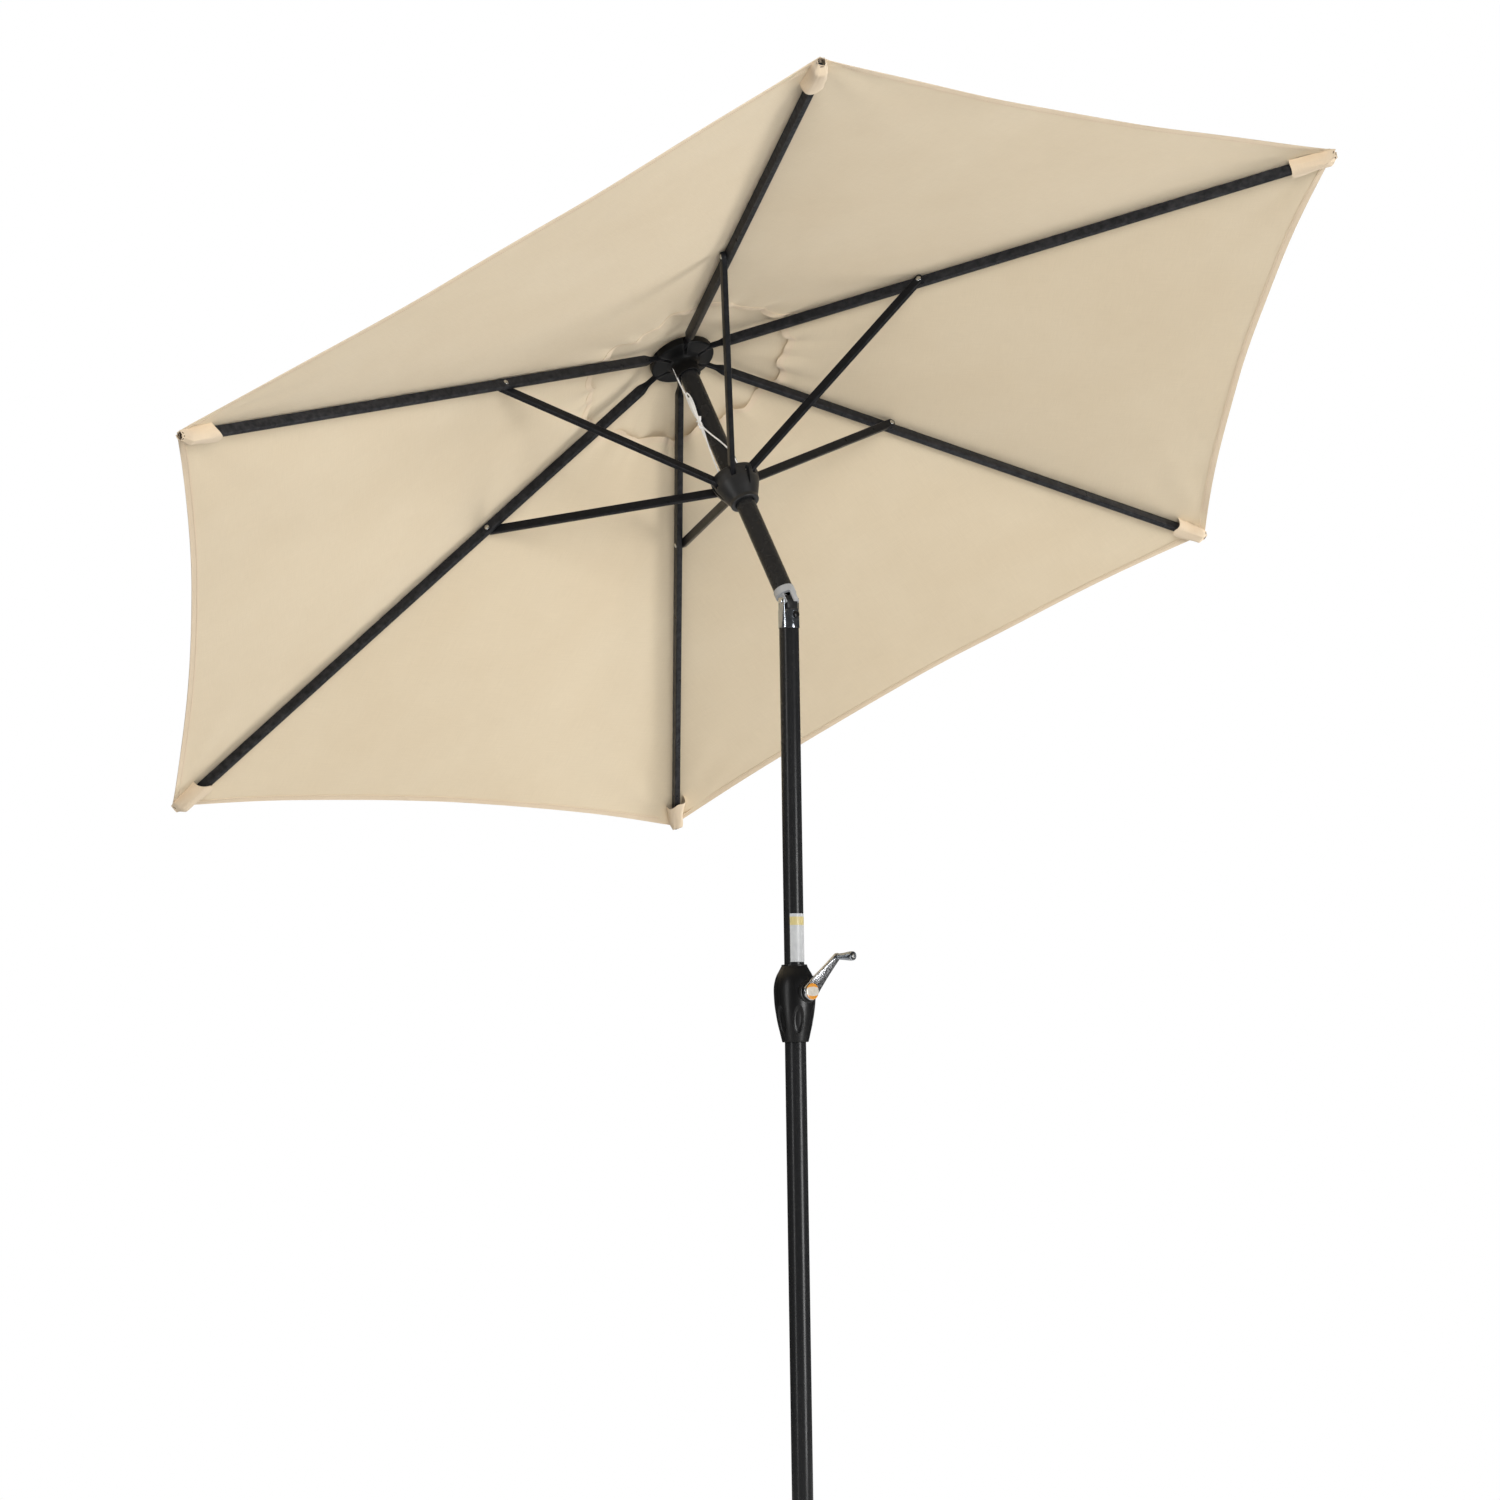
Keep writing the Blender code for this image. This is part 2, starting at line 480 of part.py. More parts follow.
# ---------------------------------------------------------------- lift cord
def lift_cord(upper):
    """From the spool up the poles, over the pulley and down to the bridle that lifts the runner."""
    foot = (0, 0.0130, CRANK_HEIGHT)
    wire("lift_cord_lower", [foot, (0, 0.0128, CRANK_HEIGHT + 0.02), (-0.0070, 0.0008, TILT_HEIGHT - 0.05),
                             (-0.0075, 0.0, TILT_HEIGHT - 0.005)], CORD_R, CORD)
    centre = HUB_RISE - PULLEY_DROP
    points = [(-0.0075, 0, 0.005), (-0.0070, -0.0004, 0.03),
              polar(PULLEY_AT - PULLEY_CORD_R, CORD_SIDE, centre - 0.05)]
    arc = 10
    for k in range(arc + 1):
        a = pi - pi * k / arc
        points.append(polar(PULLEY_AT + PULLEY_CORD_R * cos(a), CORD_SIDE, centre + PULLEY_CORD_R * sin(a)))
    knot = RUNNER_RISE + KNOT_RISE
    points += [polar(0.0240, CORD_SIDE, centre - 0.05), polar(0.0236, KNOT_SIDE, knot + 0.004)]
    wire("lift_cord_upper", points, CORD_R, CORD, parent=upper)
    foot = RUNNER_RISE + 0.012 + GAP + 0.0006
    left, right = KNOT_SIDE - radians(36), KNOT_SIDE + radians(90)
    legs = [polar(0.0232, left, foot), polar(0.0232, left, foot + 0.03),
            polar(0.0236, KNOT_SIDE, knot - 0.004), polar(0.0236, KNOT_SIDE + 0.06, knot),
            polar(0.0238, KNOT_SIDE + 0.14, knot - 0.005),
            polar(0.0240, KNOT_SIDE + 0.56, knot - 0.028), polar(0.0240, KNOT_SIDE + 1.01, knot - 0.051),
            polar(0.0240, KNOT_SIDE + 1.43, knot - 0.075), polar(0.0240, right, foot + 0.016),
            polar(0.0240, right, foot)]
    wire("lift_cord_bridle", legs, CORD_R, CORD, parent=upper)


def build():
    base()
    poles()
    crank_housing()
    crank()
    upper = place("tilt_axis", None, at=(0, 0, TILT_HEIGHT), turn=(0, -TILT, 0))
    tilt_joint(upper)
    hub(upper)
    runner(upper)
    for number in range(1, RIBS + 1):
        angle = FIRST_RIB - (number - 1) * 2 * pi / RIBS
        rib(upper, number, angle)
        strut(upper, number, angle)
        canopy_panel(upper, number, angle)
    vent_cap(upper)
    lift_cord(upper)


build()
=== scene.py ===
"""Looks of the tilting crank-lift patio umbrella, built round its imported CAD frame. Metres, +Z up."""

import json
from math import atan2, cos, hypot, pi, radians, sin, tan

import bmesh
import bpy
import numpy as np
from mathutils import Matrix, Vector


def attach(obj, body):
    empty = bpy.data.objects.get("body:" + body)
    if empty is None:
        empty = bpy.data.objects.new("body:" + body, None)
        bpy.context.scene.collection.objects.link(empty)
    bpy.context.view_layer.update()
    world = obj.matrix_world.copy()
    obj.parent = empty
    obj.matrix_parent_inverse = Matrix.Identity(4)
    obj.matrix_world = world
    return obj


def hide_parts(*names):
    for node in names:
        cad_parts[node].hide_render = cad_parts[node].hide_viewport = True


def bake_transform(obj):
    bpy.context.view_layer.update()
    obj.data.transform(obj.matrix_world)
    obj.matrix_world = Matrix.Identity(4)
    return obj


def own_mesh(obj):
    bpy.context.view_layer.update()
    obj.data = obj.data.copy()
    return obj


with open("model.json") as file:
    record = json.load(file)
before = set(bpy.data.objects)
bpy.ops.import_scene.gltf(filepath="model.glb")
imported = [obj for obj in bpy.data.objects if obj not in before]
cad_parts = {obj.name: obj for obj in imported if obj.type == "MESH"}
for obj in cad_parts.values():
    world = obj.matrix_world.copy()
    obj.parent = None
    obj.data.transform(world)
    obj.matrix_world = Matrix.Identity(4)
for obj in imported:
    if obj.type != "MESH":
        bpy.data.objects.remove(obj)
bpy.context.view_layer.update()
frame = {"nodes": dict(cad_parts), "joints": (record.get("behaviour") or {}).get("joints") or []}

JOINTS = {joint["name"]: joint for joint in frame["joints"]}

# The mast's own frame: origin on the tilt pin, Z up the tilted pole, Y along the pin
TILT_PIN = Vector(JOINTS["head_tilt"]["pos_m"])
MAST_UP = -Vector(JOINTS["runner_slide"]["axis"]).normalized()
MAST_SIDE = Vector(JOINTS["head_tilt"]["axis"]).normalized()
MAST_AXES = Matrix((MAST_SIDE.cross(MAST_UP), MAST_SIDE, MAST_UP)).transposed()
MAST = Matrix.Translation(TILT_PIN) @ MAST_AXES.to_4x4()


def in_mast(joint):
    """Where a joint's point lies in the mast's frame."""
    return MAST.inverted() @ Vector(JOINTS[joint]["pos_m"])


RIBS = 6
RIB_AT = [in_mast(f"rib_fold_{k + 1}") for k in range(RIBS)]
RIB_ANGLES = [atan2(at.y, at.x) for at in RIB_AT]
HUB_RISE = RIB_AT[0].z
RIB_PIVOT_R = hypot(RIB_AT[0].x, RIB_AT[0].y)
RUNNER_RISE = in_mast("strut_fold_1").z
CRANK_AT = Vector((0.0, 0.0, JOINTS["crank_turn"]["pos_m"][2]))
FLAT = pi / RIBS                      # half the angle between two ribs

# Sizes the frame's joints don't give
STRUT_PIVOT_R, STRUT_OFFSET = 0.033, 0.0115
RIB_DROOP = radians(14.5)
CANOPY_R, VENT_R, CAP_R, CAP_ROOT_R = 1.312, 0.222, 0.28, 0.055
HEM_SAG, CLOTH_RISE = 0.037, 0.0135
CLOTH, HEM, LAP = 0.0008, 0.014, 0.008
STRUT_PIN_R = 0.494
POLE_R, LOWER_POLE_R, WALL = 0.019, 0.02025, 0.0012
PIN_ALONG = (STRUT_PIN_R - RIB_PIVOT_R) / cos(RIB_DROOP)
PIN_RISE = HUB_RISE - (STRUT_PIN_R - RIB_PIVOT_R) * tan(RIB_DROOP)
STRUT_CLIMB = atan2(PIN_RISE - RUNNER_RISE, STRUT_PIN_R - STRUT_PIVOT_R)
STRUT_LENGTH = hypot(PIN_RISE - RUNNER_RISE, STRUT_PIN_R - STRUT_PIVOT_R)
TIP_ALONG = (CANOPY_R - RIB_PIVOT_R) / cos(RIB_DROOP)
RIB_LENGTH = TIP_ALONG - 0.022
CORD_SIDE = RIB_ANGLES[0] - radians(150.0)
KNOT_SIDE = CORD_SIDE + radians(26.0)
KNOT_RISE = 0.13
CORD_R, CORD_OUT = 0.0015, 0.024      # the cord, and how far from the pole's middle it runs outside it
PULLEY_OUT, PULLEY_DROP, GROOVE_R = 0.014, 0.004, 0.01

HUB = MAST @ Matrix.Translation((0, 0, HUB_RISE))
RUNNER = MAST @ Matrix.Translation((0, 0, RUNNER_RISE))


def turned_frame(base, at, angle, pitch):
    """A frame at a point of another, its X axis out along an angle and pitched down by pitch."""
    return base @ Matrix.Translation(at) @ Matrix.Rotation(angle, 4, "Z") @ Matrix.Rotation(pitch, 4, "Y")


def facing(base, angle):
    """A frame with its X axis turned to an angle."""
    return turned_frame(base, (0, 0, 0), angle, 0)


def polar(radius, angle, z=0.0):
    return Vector((radius * cos(angle), radius * sin(angle), z))


# ---------------------------------------------------------------- materials
class Look:
    """A Principled material built up node by node; its texture space is the object's own metres."""

    def __init__(self, name, roughness, metallic=0.0, specular=0.5, coat=0.0, sheen=0.0):
        self.material = bpy.data.materials.new(name)
        self.material.use_nodes = True
        self.tree = self.material.node_tree
        self.shader = self.tree.nodes["Principled BSDF"]
        self.shader.inputs["Roughness"].default_value = roughness
        self.shader.inputs["Metallic"].default_value = metallic
        self.shader.inputs["Specular IOR Level"].default_value = specular
        self.shader.inputs["Coat Weight"].default_value = coat
        self.shader.inputs["Coat Roughness"].default_value = 0.25
        self.shader.inputs["Sheen Weight"].default_value = sheen
        self.shader.inputs["Sheen Roughness"].default_value = 0.5
        self.space = self.node("ShaderNodeTexCoord").outputs["Object"]
        self.height = None

    def node(self, kind, **values):
        """A node with inputs set by name, by a value or by the socket that feeds it."""
        made = self.tree.nodes.new(kind)
        for key, value in values.items():
            if hasattr(made, key) and key not in made.inputs:
                setattr(made, key, value)
                continue
            self.plug(made.inputs[key.replace("_", " ")], value)
        return made

    def plug(self, socket, value):
        """Feeds a socket from another one, or sets it to a number, vector or colour."""
        if isinstance(value, bpy.types.NodeSocket):
            self.tree.links.new(value, socket)
        else:
            socket.default_value = (*value, 1.0) if socket.type == "RGBA" else value

    def stretched(self, x, y, z):
        return self.node("ShaderNodeMapping", Vector=self.space, Scale=(x, y, z)).outputs["Vector"]

    def noise(self, scale, detail=3.0, space=None):
        made = self.node("ShaderNodeTexNoise", Vector=space or self.space, Scale=scale, Detail=detail,
                         Roughness=0.55)
        return made.outputs["Fac"]

    def ranged(self, fac, low, high, start=0.3, end=0.7):
        made = self.node("ShaderNodeMapRange", Value=fac, From_Min=start, From_Max=end, To_Min=low,
                         To_Max=high)
        return made.outputs["Result"]

    def mixed(self, fac, first, second):
        """Colours mixed by a factor; each is a colour or the socket of one."""
        made = self.node("ShaderNodeMix", data_type="RGBA")
        for place, value in ((0, fac), (6, first), (7, second)):
            self.plug(made.inputs[place], value)
        return made.outputs[2]

    def mottled(self, first, second, scale, detail=3.0):
        """Two colours in faint blotches."""
        return self.mixed(self.ranged(self.noise(scale, detail), 0.0, 1.0), first, second)

    def maths(self, operation, first, second=0.0):
        made = self.node("ShaderNodeMath", operation=operation)
        for socket, value in zip(made.inputs, (first, second)):
            self.plug(socket, value)
        return made.outputs[0]

    def bump(self, height, depth, strength=1.0):
        made = self.node("ShaderNodeBump", Height=height, Distance=depth, Strength=strength)
        if self.height:
            self.tree.links.new(self.height, made.inputs["Normal"])
        self.height = made.outputs["Normal"]
        self.tree.links.new(self.height, self.shader.inputs["Normal"])

    def feed(self, socket, value):
        self.tree.links.new(value, self.shader.inputs[socket])

    def dulled(self, low, high, scale, detail=3.0):
        """Roughness that wanders between two values."""
        self.feed("Roughness", self.ranged(self.noise(scale, detail), low, high))

    def cut_space(self):
        """The cloth's or print's own flat coordinates: both together, then across and along."""
        flat = self.node("ShaderNodeUVMap", uv_map="cut").outputs["UV"]
        return flat, *self.node("ShaderNodeSeparateXYZ", Vector=flat).outputs[:2]

    def worn(self, colour, wear):
        """A colour that turns to wear along outward edges."""
        outward = self.node("ShaderNodeNewGeometry").outputs["Pointiness"]
        edge = self.ranged(outward, 0.0, 1.0, 0.515, 0.56)
        edge = self.maths("MULTIPLY", edge, self.ranged(self.noise(90), 0.2, 1.0))
        return self.mixed(self.maths("MULTIPLY", edge, 0.6), colour, wear)


def dark_finish(name, dark, light, roughness, grain, depth, wear, specular):
    """Paint or moulded plastic: fine grain, faint blotches, uneven gloss and paler edges."""
    look = Look(name, roughness, specular=specular)
    look.feed("Base Color", look.worn(look.mottled(dark, light, 9.0, 4.0), wear))
    look.dulled(roughness - 0.03, roughness + 0.05, 35.0, 5.0)
    look.bump(look.noise(grain, 2.0), depth)
    look.bump(look.noise(55.0, 2.0), depth * 1.5, 0.4)
    return look.material


def bright_metal(name, low, high, roughness, along, depth=0.00004):
    """Plated or plain metal: brushed one way, with a little haze and dulling in patches."""
    look = Look(name, roughness, metallic=1.0)
    look.feed("Base Color", look.mottled(low, high, 40.0, 5.0))
    look.dulled(roughness - 0.04, roughness + 0.1, 75.0, 4.0)
    look.bump(look.noise(1.0, 3.0, look.stretched(*along)), depth)
    return look.material


def textured_chrome():
    """The crank arm's plating over a pebbled casting."""
    look = Look("chrome_cast", 0.16, metallic=1.0)
    look.feed("Base Color", look.mottled((0.46, 0.47, 0.49), (0.72, 0.72, 0.73), 120.0))
    look.dulled(0.1, 0.28, 260.0)
    pebble = look.node("ShaderNodeTexVoronoi", Vector=look.space, Scale=520.0).outputs["Distance"]
    look.bump(pebble, 0.00028, 0.55)
    look.bump(look.noise(110.0, 3.0), 0.0005, 0.5)
    return look.material


def canvas(name, pale, deep):
    """Woven polyester: crossed threads, uneven yarns and faint blotches."""
    look = Look(name, 0.82, specular=0.25, sheen=0.15)
    flat, across, along = look.cut_space()
    pitch = 2 * pi / 0.0011
    warp = look.maths("SINE", look.maths("MULTIPLY", across, pitch))
    weft = look.maths("SINE", look.maths("MULTIPLY", along, pitch))
    woven = look.maths("MULTIPLY", warp, weft)
    yarns = []
    for scale in ((900.0, 22.0, 1.0), (22.0, 900.0, 1.0)):
        drawn = look.node("ShaderNodeMapping", Vector=flat, Scale=scale).outputs[0]
        yarns.append(look.maths("MULTIPLY", look.noise(1.0, 2.0, drawn), 0.5))
    slub = look.maths("ADD", *yarns)
    tone = look.mixed(look.ranged(look.noise(4.2), 0.0, 0.55), pale, deep)
    tone = look.mixed(look.ranged(slub, 0.0, 0.22), tone, [0.72 * c for c in deep])
    tone = look.mixed(look.ranged(woven, 0.0, 0.06, -1.0, 1.0), tone, [0.6 * c for c in deep])
    look.feed("Base Color", tone)
    look.feed("Roughness", look.ranged(slub, 0.76, 0.9))
    look.bump(woven, 0.00012, 0.6)
    look.bump(slub, 0.0003, 0.5)
    look.bump(look.noise(16.0, 3.0), 0.0016, 0.35)
    return look.material


def braid(name, pale, shade):
    look = Look(name, 0.8, specular=0.3, sheen=0.2)
    strands = look.noise(1.0, 2.0, look.stretched(1500.0, 1500.0, 420.0))
    look.feed("Base Color", look.mixed(look.ranged(strands, 0.0, 1.0), pale, shade))
    look.feed("Roughness", look.ranged(strands, 0.7, 0.9))
    look.bump(strands, 0.0004)
    return look.material


def cast_iron():
    look = Look("iron_cast", 0.5, specular=0.45)
    coarse = look.node("ShaderNodeTexVoronoi", Vector=look.space, Scale=260.0).outputs["Distance"]
    tone = look.mottled((0.016, 0.016, 0.018), (0.03, 0.03, 0.032), 14.0, 5.0)
    look.feed("Base Color", look.worn(tone, (0.12, 0.12, 0.12)))
    look.dulled(0.42, 0.62, 40.0, 4.0)
    look.bump(coarse, 0.0004, 0.5)
    look.bump(look.noise(24.0, 4.0), 0.0016, 0.5)
    return look.material


def badge_face():
    """A generic cap: cream in the middle, with an orange area at the top and at the bottom."""
    look = Look("badge_print", 0.3, specular=0.6, coat=0.5)
    _, across, up = look.cut_space()
    shares = [look.maths("ABSOLUTE", look.maths("DIVIDE", *part)) for part in ((up, 0.0088),
                                                                               (across, 0.0195))]
    oval = look.maths("ADD", *[look.maths("POWER", share, 2.0) for share in shares])
    edge = look.ranged(oval, 0.0, 1.0, 0.9, 1.1)
    cream = look.mottled((0.56, 0.51, 0.43), (0.64, 0.6, 0.53), 150.0)
    look.feed("Base Color", look.mixed(edge, cream, (0.7, 0.28, 0.022)))
    look.dulled(0.24, 0.36, 200.0)
    look.bump(look.noise(300.0), 0.00003)
    return look.material


def label_face():
    """A plain care label with a pale yellow panel and no print."""
    look = Look("label_film", 0.35, specular=0.5)
    _, _, up = look.cut_space()
    panel = look.ranged(up, 0.0, 1.0, 0.0695, 0.0705)
    margin = look.ranged(up, 1.0, 0.0, 0.0855, 0.0865)
    white = look.mottled((0.48, 0.49, 0.5), (0.56, 0.57, 0.57), 90.0)
    look.feed("Base Color", look.mixed(look.maths("MULTIPLY", panel, margin), white, (0.6, 0.5, 0.22)))
    look.dulled(0.28, 0.45, 130.0)
    look.bump(look.noise(60.0, 3.0), 0.0002, 0.5)
    return look.material


COAT = dark_finish("coat_charcoal", (0.012, 0.0124, 0.0134), (0.015, 0.0154, 0.0165), 0.25, 900.0, 0.000012,
                   (0.05, 0.05, 0.05), specular=0.2)
STEEL = dark_finish("steel_blackened", (0.0066, 0.0069, 0.008), (0.009, 0.0095, 0.011), 0.3, 1100.0,
                    0.00003,
                    (0.07, 0.07, 0.075), specular=0.07)
PLASTIC = dark_finish("plastic_black", (0.0048, 0.0049, 0.0052), (0.0072, 0.0072, 0.0076), 0.32, 1400.0,
                      0.00006,
                      (0.04, 0.04, 0.04), specular=0.3)
GREY = dark_finish("steel_grey", (0.31, 0.32, 0.335), (0.37, 0.38, 0.395), 0.45, 700.0, 0.00005,
                   (0.5, 0.5, 0.5),
                   specular=0.4)
CHROME = bright_metal("chrome_bright", (0.36, 0.39, 0.43), (0.46, 0.49, 0.53), 0.15, (300.0, 300.0, 90.0),
                      0.00002)
CHROME_CAST = textured_chrome()
ZINC = bright_metal("zinc_plate", (0.5, 0.5, 0.49), (0.68, 0.68, 0.66), 0.24, (700.0, 700.0, 700.0))
IRON = cast_iron()
CANVAS = canvas("canvas_sand", (0.8, 0.675, 0.485), (0.74, 0.605, 0.415))
CANVAS_EDGE = canvas("canvas_hem", (0.81, 0.665, 0.485), (0.75, 0.595, 0.415))
THREAD = braid("thread_sand", (0.66, 0.52, 0.35), (0.5, 0.38, 0.24))
TACK = braid("thread_brown", (0.2, 0.145, 0.095), (0.12, 0.085, 0.055))
CORD = braid("cord_white", (0.95, 0.95, 0.94), (0.76, 0.76, 0.75))
# Painted shade: a darker copy of the black plastic that stands in for the canopy's shade on the hub; the hub's
# top plate and finial use it too
HUB_BLACK_PAINTED_SHADE = dark_finish("plastic_hub_painted_shade", (0.0032, 0.0033, 0.0035), (0.005, 0.005, 0.0052), 0.38, 1400.0,
                        0.00006,
                        (0.03, 0.03, 0.03), specular=0.13)
RUNNER_BLACK = dark_finish("plastic_runner", (0.013, 0.0132, 0.0138), (0.0175, 0.0177, 0.0184), 0.4, 1400.0,
                           0.00006, (0.06, 0.06, 0.06), specular=0.34)
BADGE = badge_face()
LABEL = label_face()


# ---------------------------------------------------------------- mesh tools
def piece(name, points, faces, look, body=None, stands_for=(), frame_at=None, angle=35.0, cut=None,
          merge=1e-6):
    """A mesh object: its points in a frame, smooth but for sharp edges, riding on a body."""
    at = frame_at or Matrix.Identity(4)
    shape = bmesh.new()
    verts = [shape.verts.new(at @ Vector(p)) for p in points]
    layer = shape.loops.layers.uv.new("cut") if cut is not None else None
    for face in faces:
        if len(set(face)) < 3:
            continue
        made = shape.faces.new([verts[i] for i in face])
        if layer:
            for loop, i in zip(made.loops, face):
                loop[layer].uv = cut[i]
    if merge:
        bmesh.ops.remove_doubles(shape, verts=shape.verts, dist=merge)
        bmesh.ops.dissolve_degenerate(shape, edges=shape.edges, dist=1e-7)
        bmesh.ops.recalc_face_normals(shape, faces=shape.faces)
    mesh = bpy.data.meshes.new(name)
    shape.to_mesh(mesh)
    shape.free()
    mesh.materials.append(look)
    obj = bpy.data.objects.new(name, mesh)
    bpy.context.scene.collection.objects.link(obj)
    soften(obj, angle)
    if body:
        dress(obj, body, stands_for)
    return obj


def soften(obj, angle=35.0):
    obj.data.shade_smooth()
    obj.data.set_sharp_from_angle(angle=radians(angle))


def dress(obj, body, stands_for=()):
    """Rides an object on a body, in place of the CAD nodes that it stands for."""
    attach(obj, body)
    if stands_for:
        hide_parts(*stands_for)
    return obj


def bake(obj, angle=35.0):
    """Applies an object's modifiers to its mesh."""
    made = bpy.data.meshes.new_from_object(obj.evaluated_get(bpy.context.evaluated_depsgraph_get()))
    obj.modifiers.clear()
    obj.data = made
    soften(obj, angle)
    return obj


def thickened(obj, thickness, angle=50.0):
    """A flat sheet given its thickness, half of it to each side."""
    thick = obj.modifiers.new("cloth", "SOLIDIFY")
    thick.thickness, thick.offset = thickness, 0.0
    return bake(obj, angle)


def grid_faces(rows, columns, wrap=False):
    """Quads over a grid of rows by columns of points, joined round where it wraps."""
    last = columns if wrap else columns - 1
    return [(r * columns + c, r * columns + (c + 1) % columns, (r + 1) * columns + (c + 1) % columns,
             (r + 1) * columns + c) for r in range(rows - 1) for c in range(last)]


def rounded(outline, reach, closed=False):
    """An outline with each corner eased by a curve that starts within reach of it."""
    steps = 4
    points = [Vector(p) for p in outline]
    made = []
    for i, here in enumerate(points):
        if not closed and i in (0, len(points) - 1):
            made.append(here)
            continue
        before, after = points[i - 1] - here, points[(i + 1) % len(points)] - here
        near = min(reach, before.length * 0.45, after.length * 0.45)
        a, b = here + before.normalized() * near, here + after.normalized() * near
        for k in range(steps + 1):
            t = k / steps
            made.append(a * (1 - t) ** 2 + here * 2 * t * (1 - t) + b * t * t)
    return made


def lathe(name, profile, look, body=None, stands_for=(), frame_at=None, reach=0.0008, steps=72, arc=None,
          shape=None, soft=35.0):
    """A profile of (radius, z) turned about Z. A profile that never meets the axis closes on itself."""
    hollow = min(p[0] for p in profile) > 1e-6
    outline = rounded(profile, reach, hollow)
    if hollow:
        outline = outline + outline[:1]
    start, sweep = arc or (0.0, 2 * pi)
    columns = steps + (1 if arc else 0)
    points = []
    for p in outline:
        for c in range(columns):
            a = start + sweep * c / steps
            r, z = shape(p.x, p.y, a) if shape else (p.x, p.y)
            points.append((r * cos(a), r * sin(a), z))
    faces = grid_faces(len(outline), columns, not arc)
    if arc:
        faces += [[r * columns + c for r in range(len(outline) - 1)] for c in (0, columns - 1)]
    return piece(name, points, faces, look, body, stands_for, frame_at, soft)


def tube(name, outer, inner, low, high, look, body, stands_for=(), frame_at=None, reach=0.0004):
    profile = [(outer, high), (outer, low), (inner, low), (inner, high)]
    return lathe(name, profile, look, body, stands_for, frame_at, reach)


def section(half_width, half_height, corner):
    """A rectangle with round corners in the YZ plane."""
    steps = 4
    corner = min(corner, half_width * 0.98, half_height * 0.98)
    ring = []
    for k, (sy, sz) in enumerate(((1, 1), (-1, 1), (-1, -1), (1, -1))):
        for j in range(steps + 1):
            a = pi / 2 * (k + j / steps)
            y = sy * (half_width - corner) + corner * cos(a)
            ring.append((y, sz * (half_height - corner) + corner * sin(a)))
    return ring


def bar(name, sections, look, body, stands_for=(), frame_at=None, corner=0.002):
    """A bar along X through sections of (x, half width in Y, half height in Z, and any rise in Z)."""
    points = []
    for x, wide, high, *rise in sections:
        ring = section(wide, high, corner)
        points += [(x, y, z + sum(rise)) for y, z in ring]
    count = len(ring)
    faces = grid_faces(len(sections), count, True)
    faces += [list(range(count)), list(range(len(points) - count, len(points)))]
    return piece(name, points, faces, look, body, stands_for, frame_at, 40.0)


def round_end(x, radius, width, sign):
    """Sections that round a bar's end off about a pivot at x, from the pivot outwards."""
    angles = [radians(86) * k / 8 for k in range(9)]
    return [(x + sign * radius * sin(a), width, radius * cos(a)) for a in angles]


def swept(points, radius, sides=12, closed=False, taper=None):
    """Points and faces of a round tube along a line, with eased ends."""
    line = [Vector(p) for p in points]
    count = len(line)
    made = []
    side = None
    for i, here in enumerate(line):
        before = line[i - 1] if (i or closed) else here
        after = line[(i + 1) % count] if (i < count - 1 or closed) else here
        ahead = (after - before).normalized()
        if side is None:
            side = ahead.orthogonal().normalized()
        side = (side - ahead * side.dot(ahead)).normalized()
        other = ahead.cross(side)
        r = radius * (taper(i / (count - 1)) if taper else 1.0)
        for k in range(sides):
            a = 2 * pi * k / sides
            made.append(here + (side * cos(a) + other * sin(a)) * r)
    faces = grid_faces(count, sides, True)
    if closed:
        last = (count - 1) * sides
        start = min(range(sides), key=lambda s: (made[last] - made[s]).length)
        faces += [(last + k, last + (k + 1) % sides, (start + k + 1) % sides, (start + k) % sides)
                  for k in range(sides)]
    else:
        faces += [list(range(sides)), list(range(len(made) - sides, len(made)))]
    return made, faces


def box(name, low, high, at, look=ZINC):
    """A box between two corners, to cut or join with."""
    points = [(x, y, z) for x in (low[0], high[0]) for y in (low[1], high[1]) for z in (low[2], high[2])]
    faces = [(0, 1, 3, 2), (4, 6, 7, 5), (0, 4, 5, 1), (2, 3, 7, 6), (0, 2, 6, 4), (1, 5, 7, 3)]
    return piece(name, points, faces, look, frame_at=at)


def trimmed(obj, tools, ease=0.0, angle=35.0):
    """An object with (operation, tool) Booleans applied and its sharp edges eased; the tools are removed."""
    for operation, tool in tools:
        step = obj.modifiers.new(tool.name, "BOOLEAN")
        step.operation, step.object, step.solver = operation, tool, "EXACT"
    if ease:
        edge = obj.modifiers.new("ease", "BEVEL")
        edge.width, edge.segments, edge.limit_method, edge.angle_limit = ease, 2, "ANGLE", radians(50)
    bake(obj, angle)
    for _, tool in tools:
        bpy.data.objects.remove(tool)
    return obj


def smooth_line(points, steps):
    """A smooth line through given points (Catmull-Rom)."""
    line = [Vector(p) for p in points]
    ends = [line[0] * 2 - line[1]] + line + [line[-1] * 2 - line[-2]]
    made = []
    for a, b, c, d in zip(ends, ends[1:], ends[2:], ends[3:]):
        for k in range(steps):
            t = k / steps
            made.append(0.5 * ((2 * b) + (c - a) * t + (2 * a - 5 * b + 4 * c - d) * t * t
                               + (3 * b - a - 3 * c + d) * t ** 3))
    return made + [line[-1]]


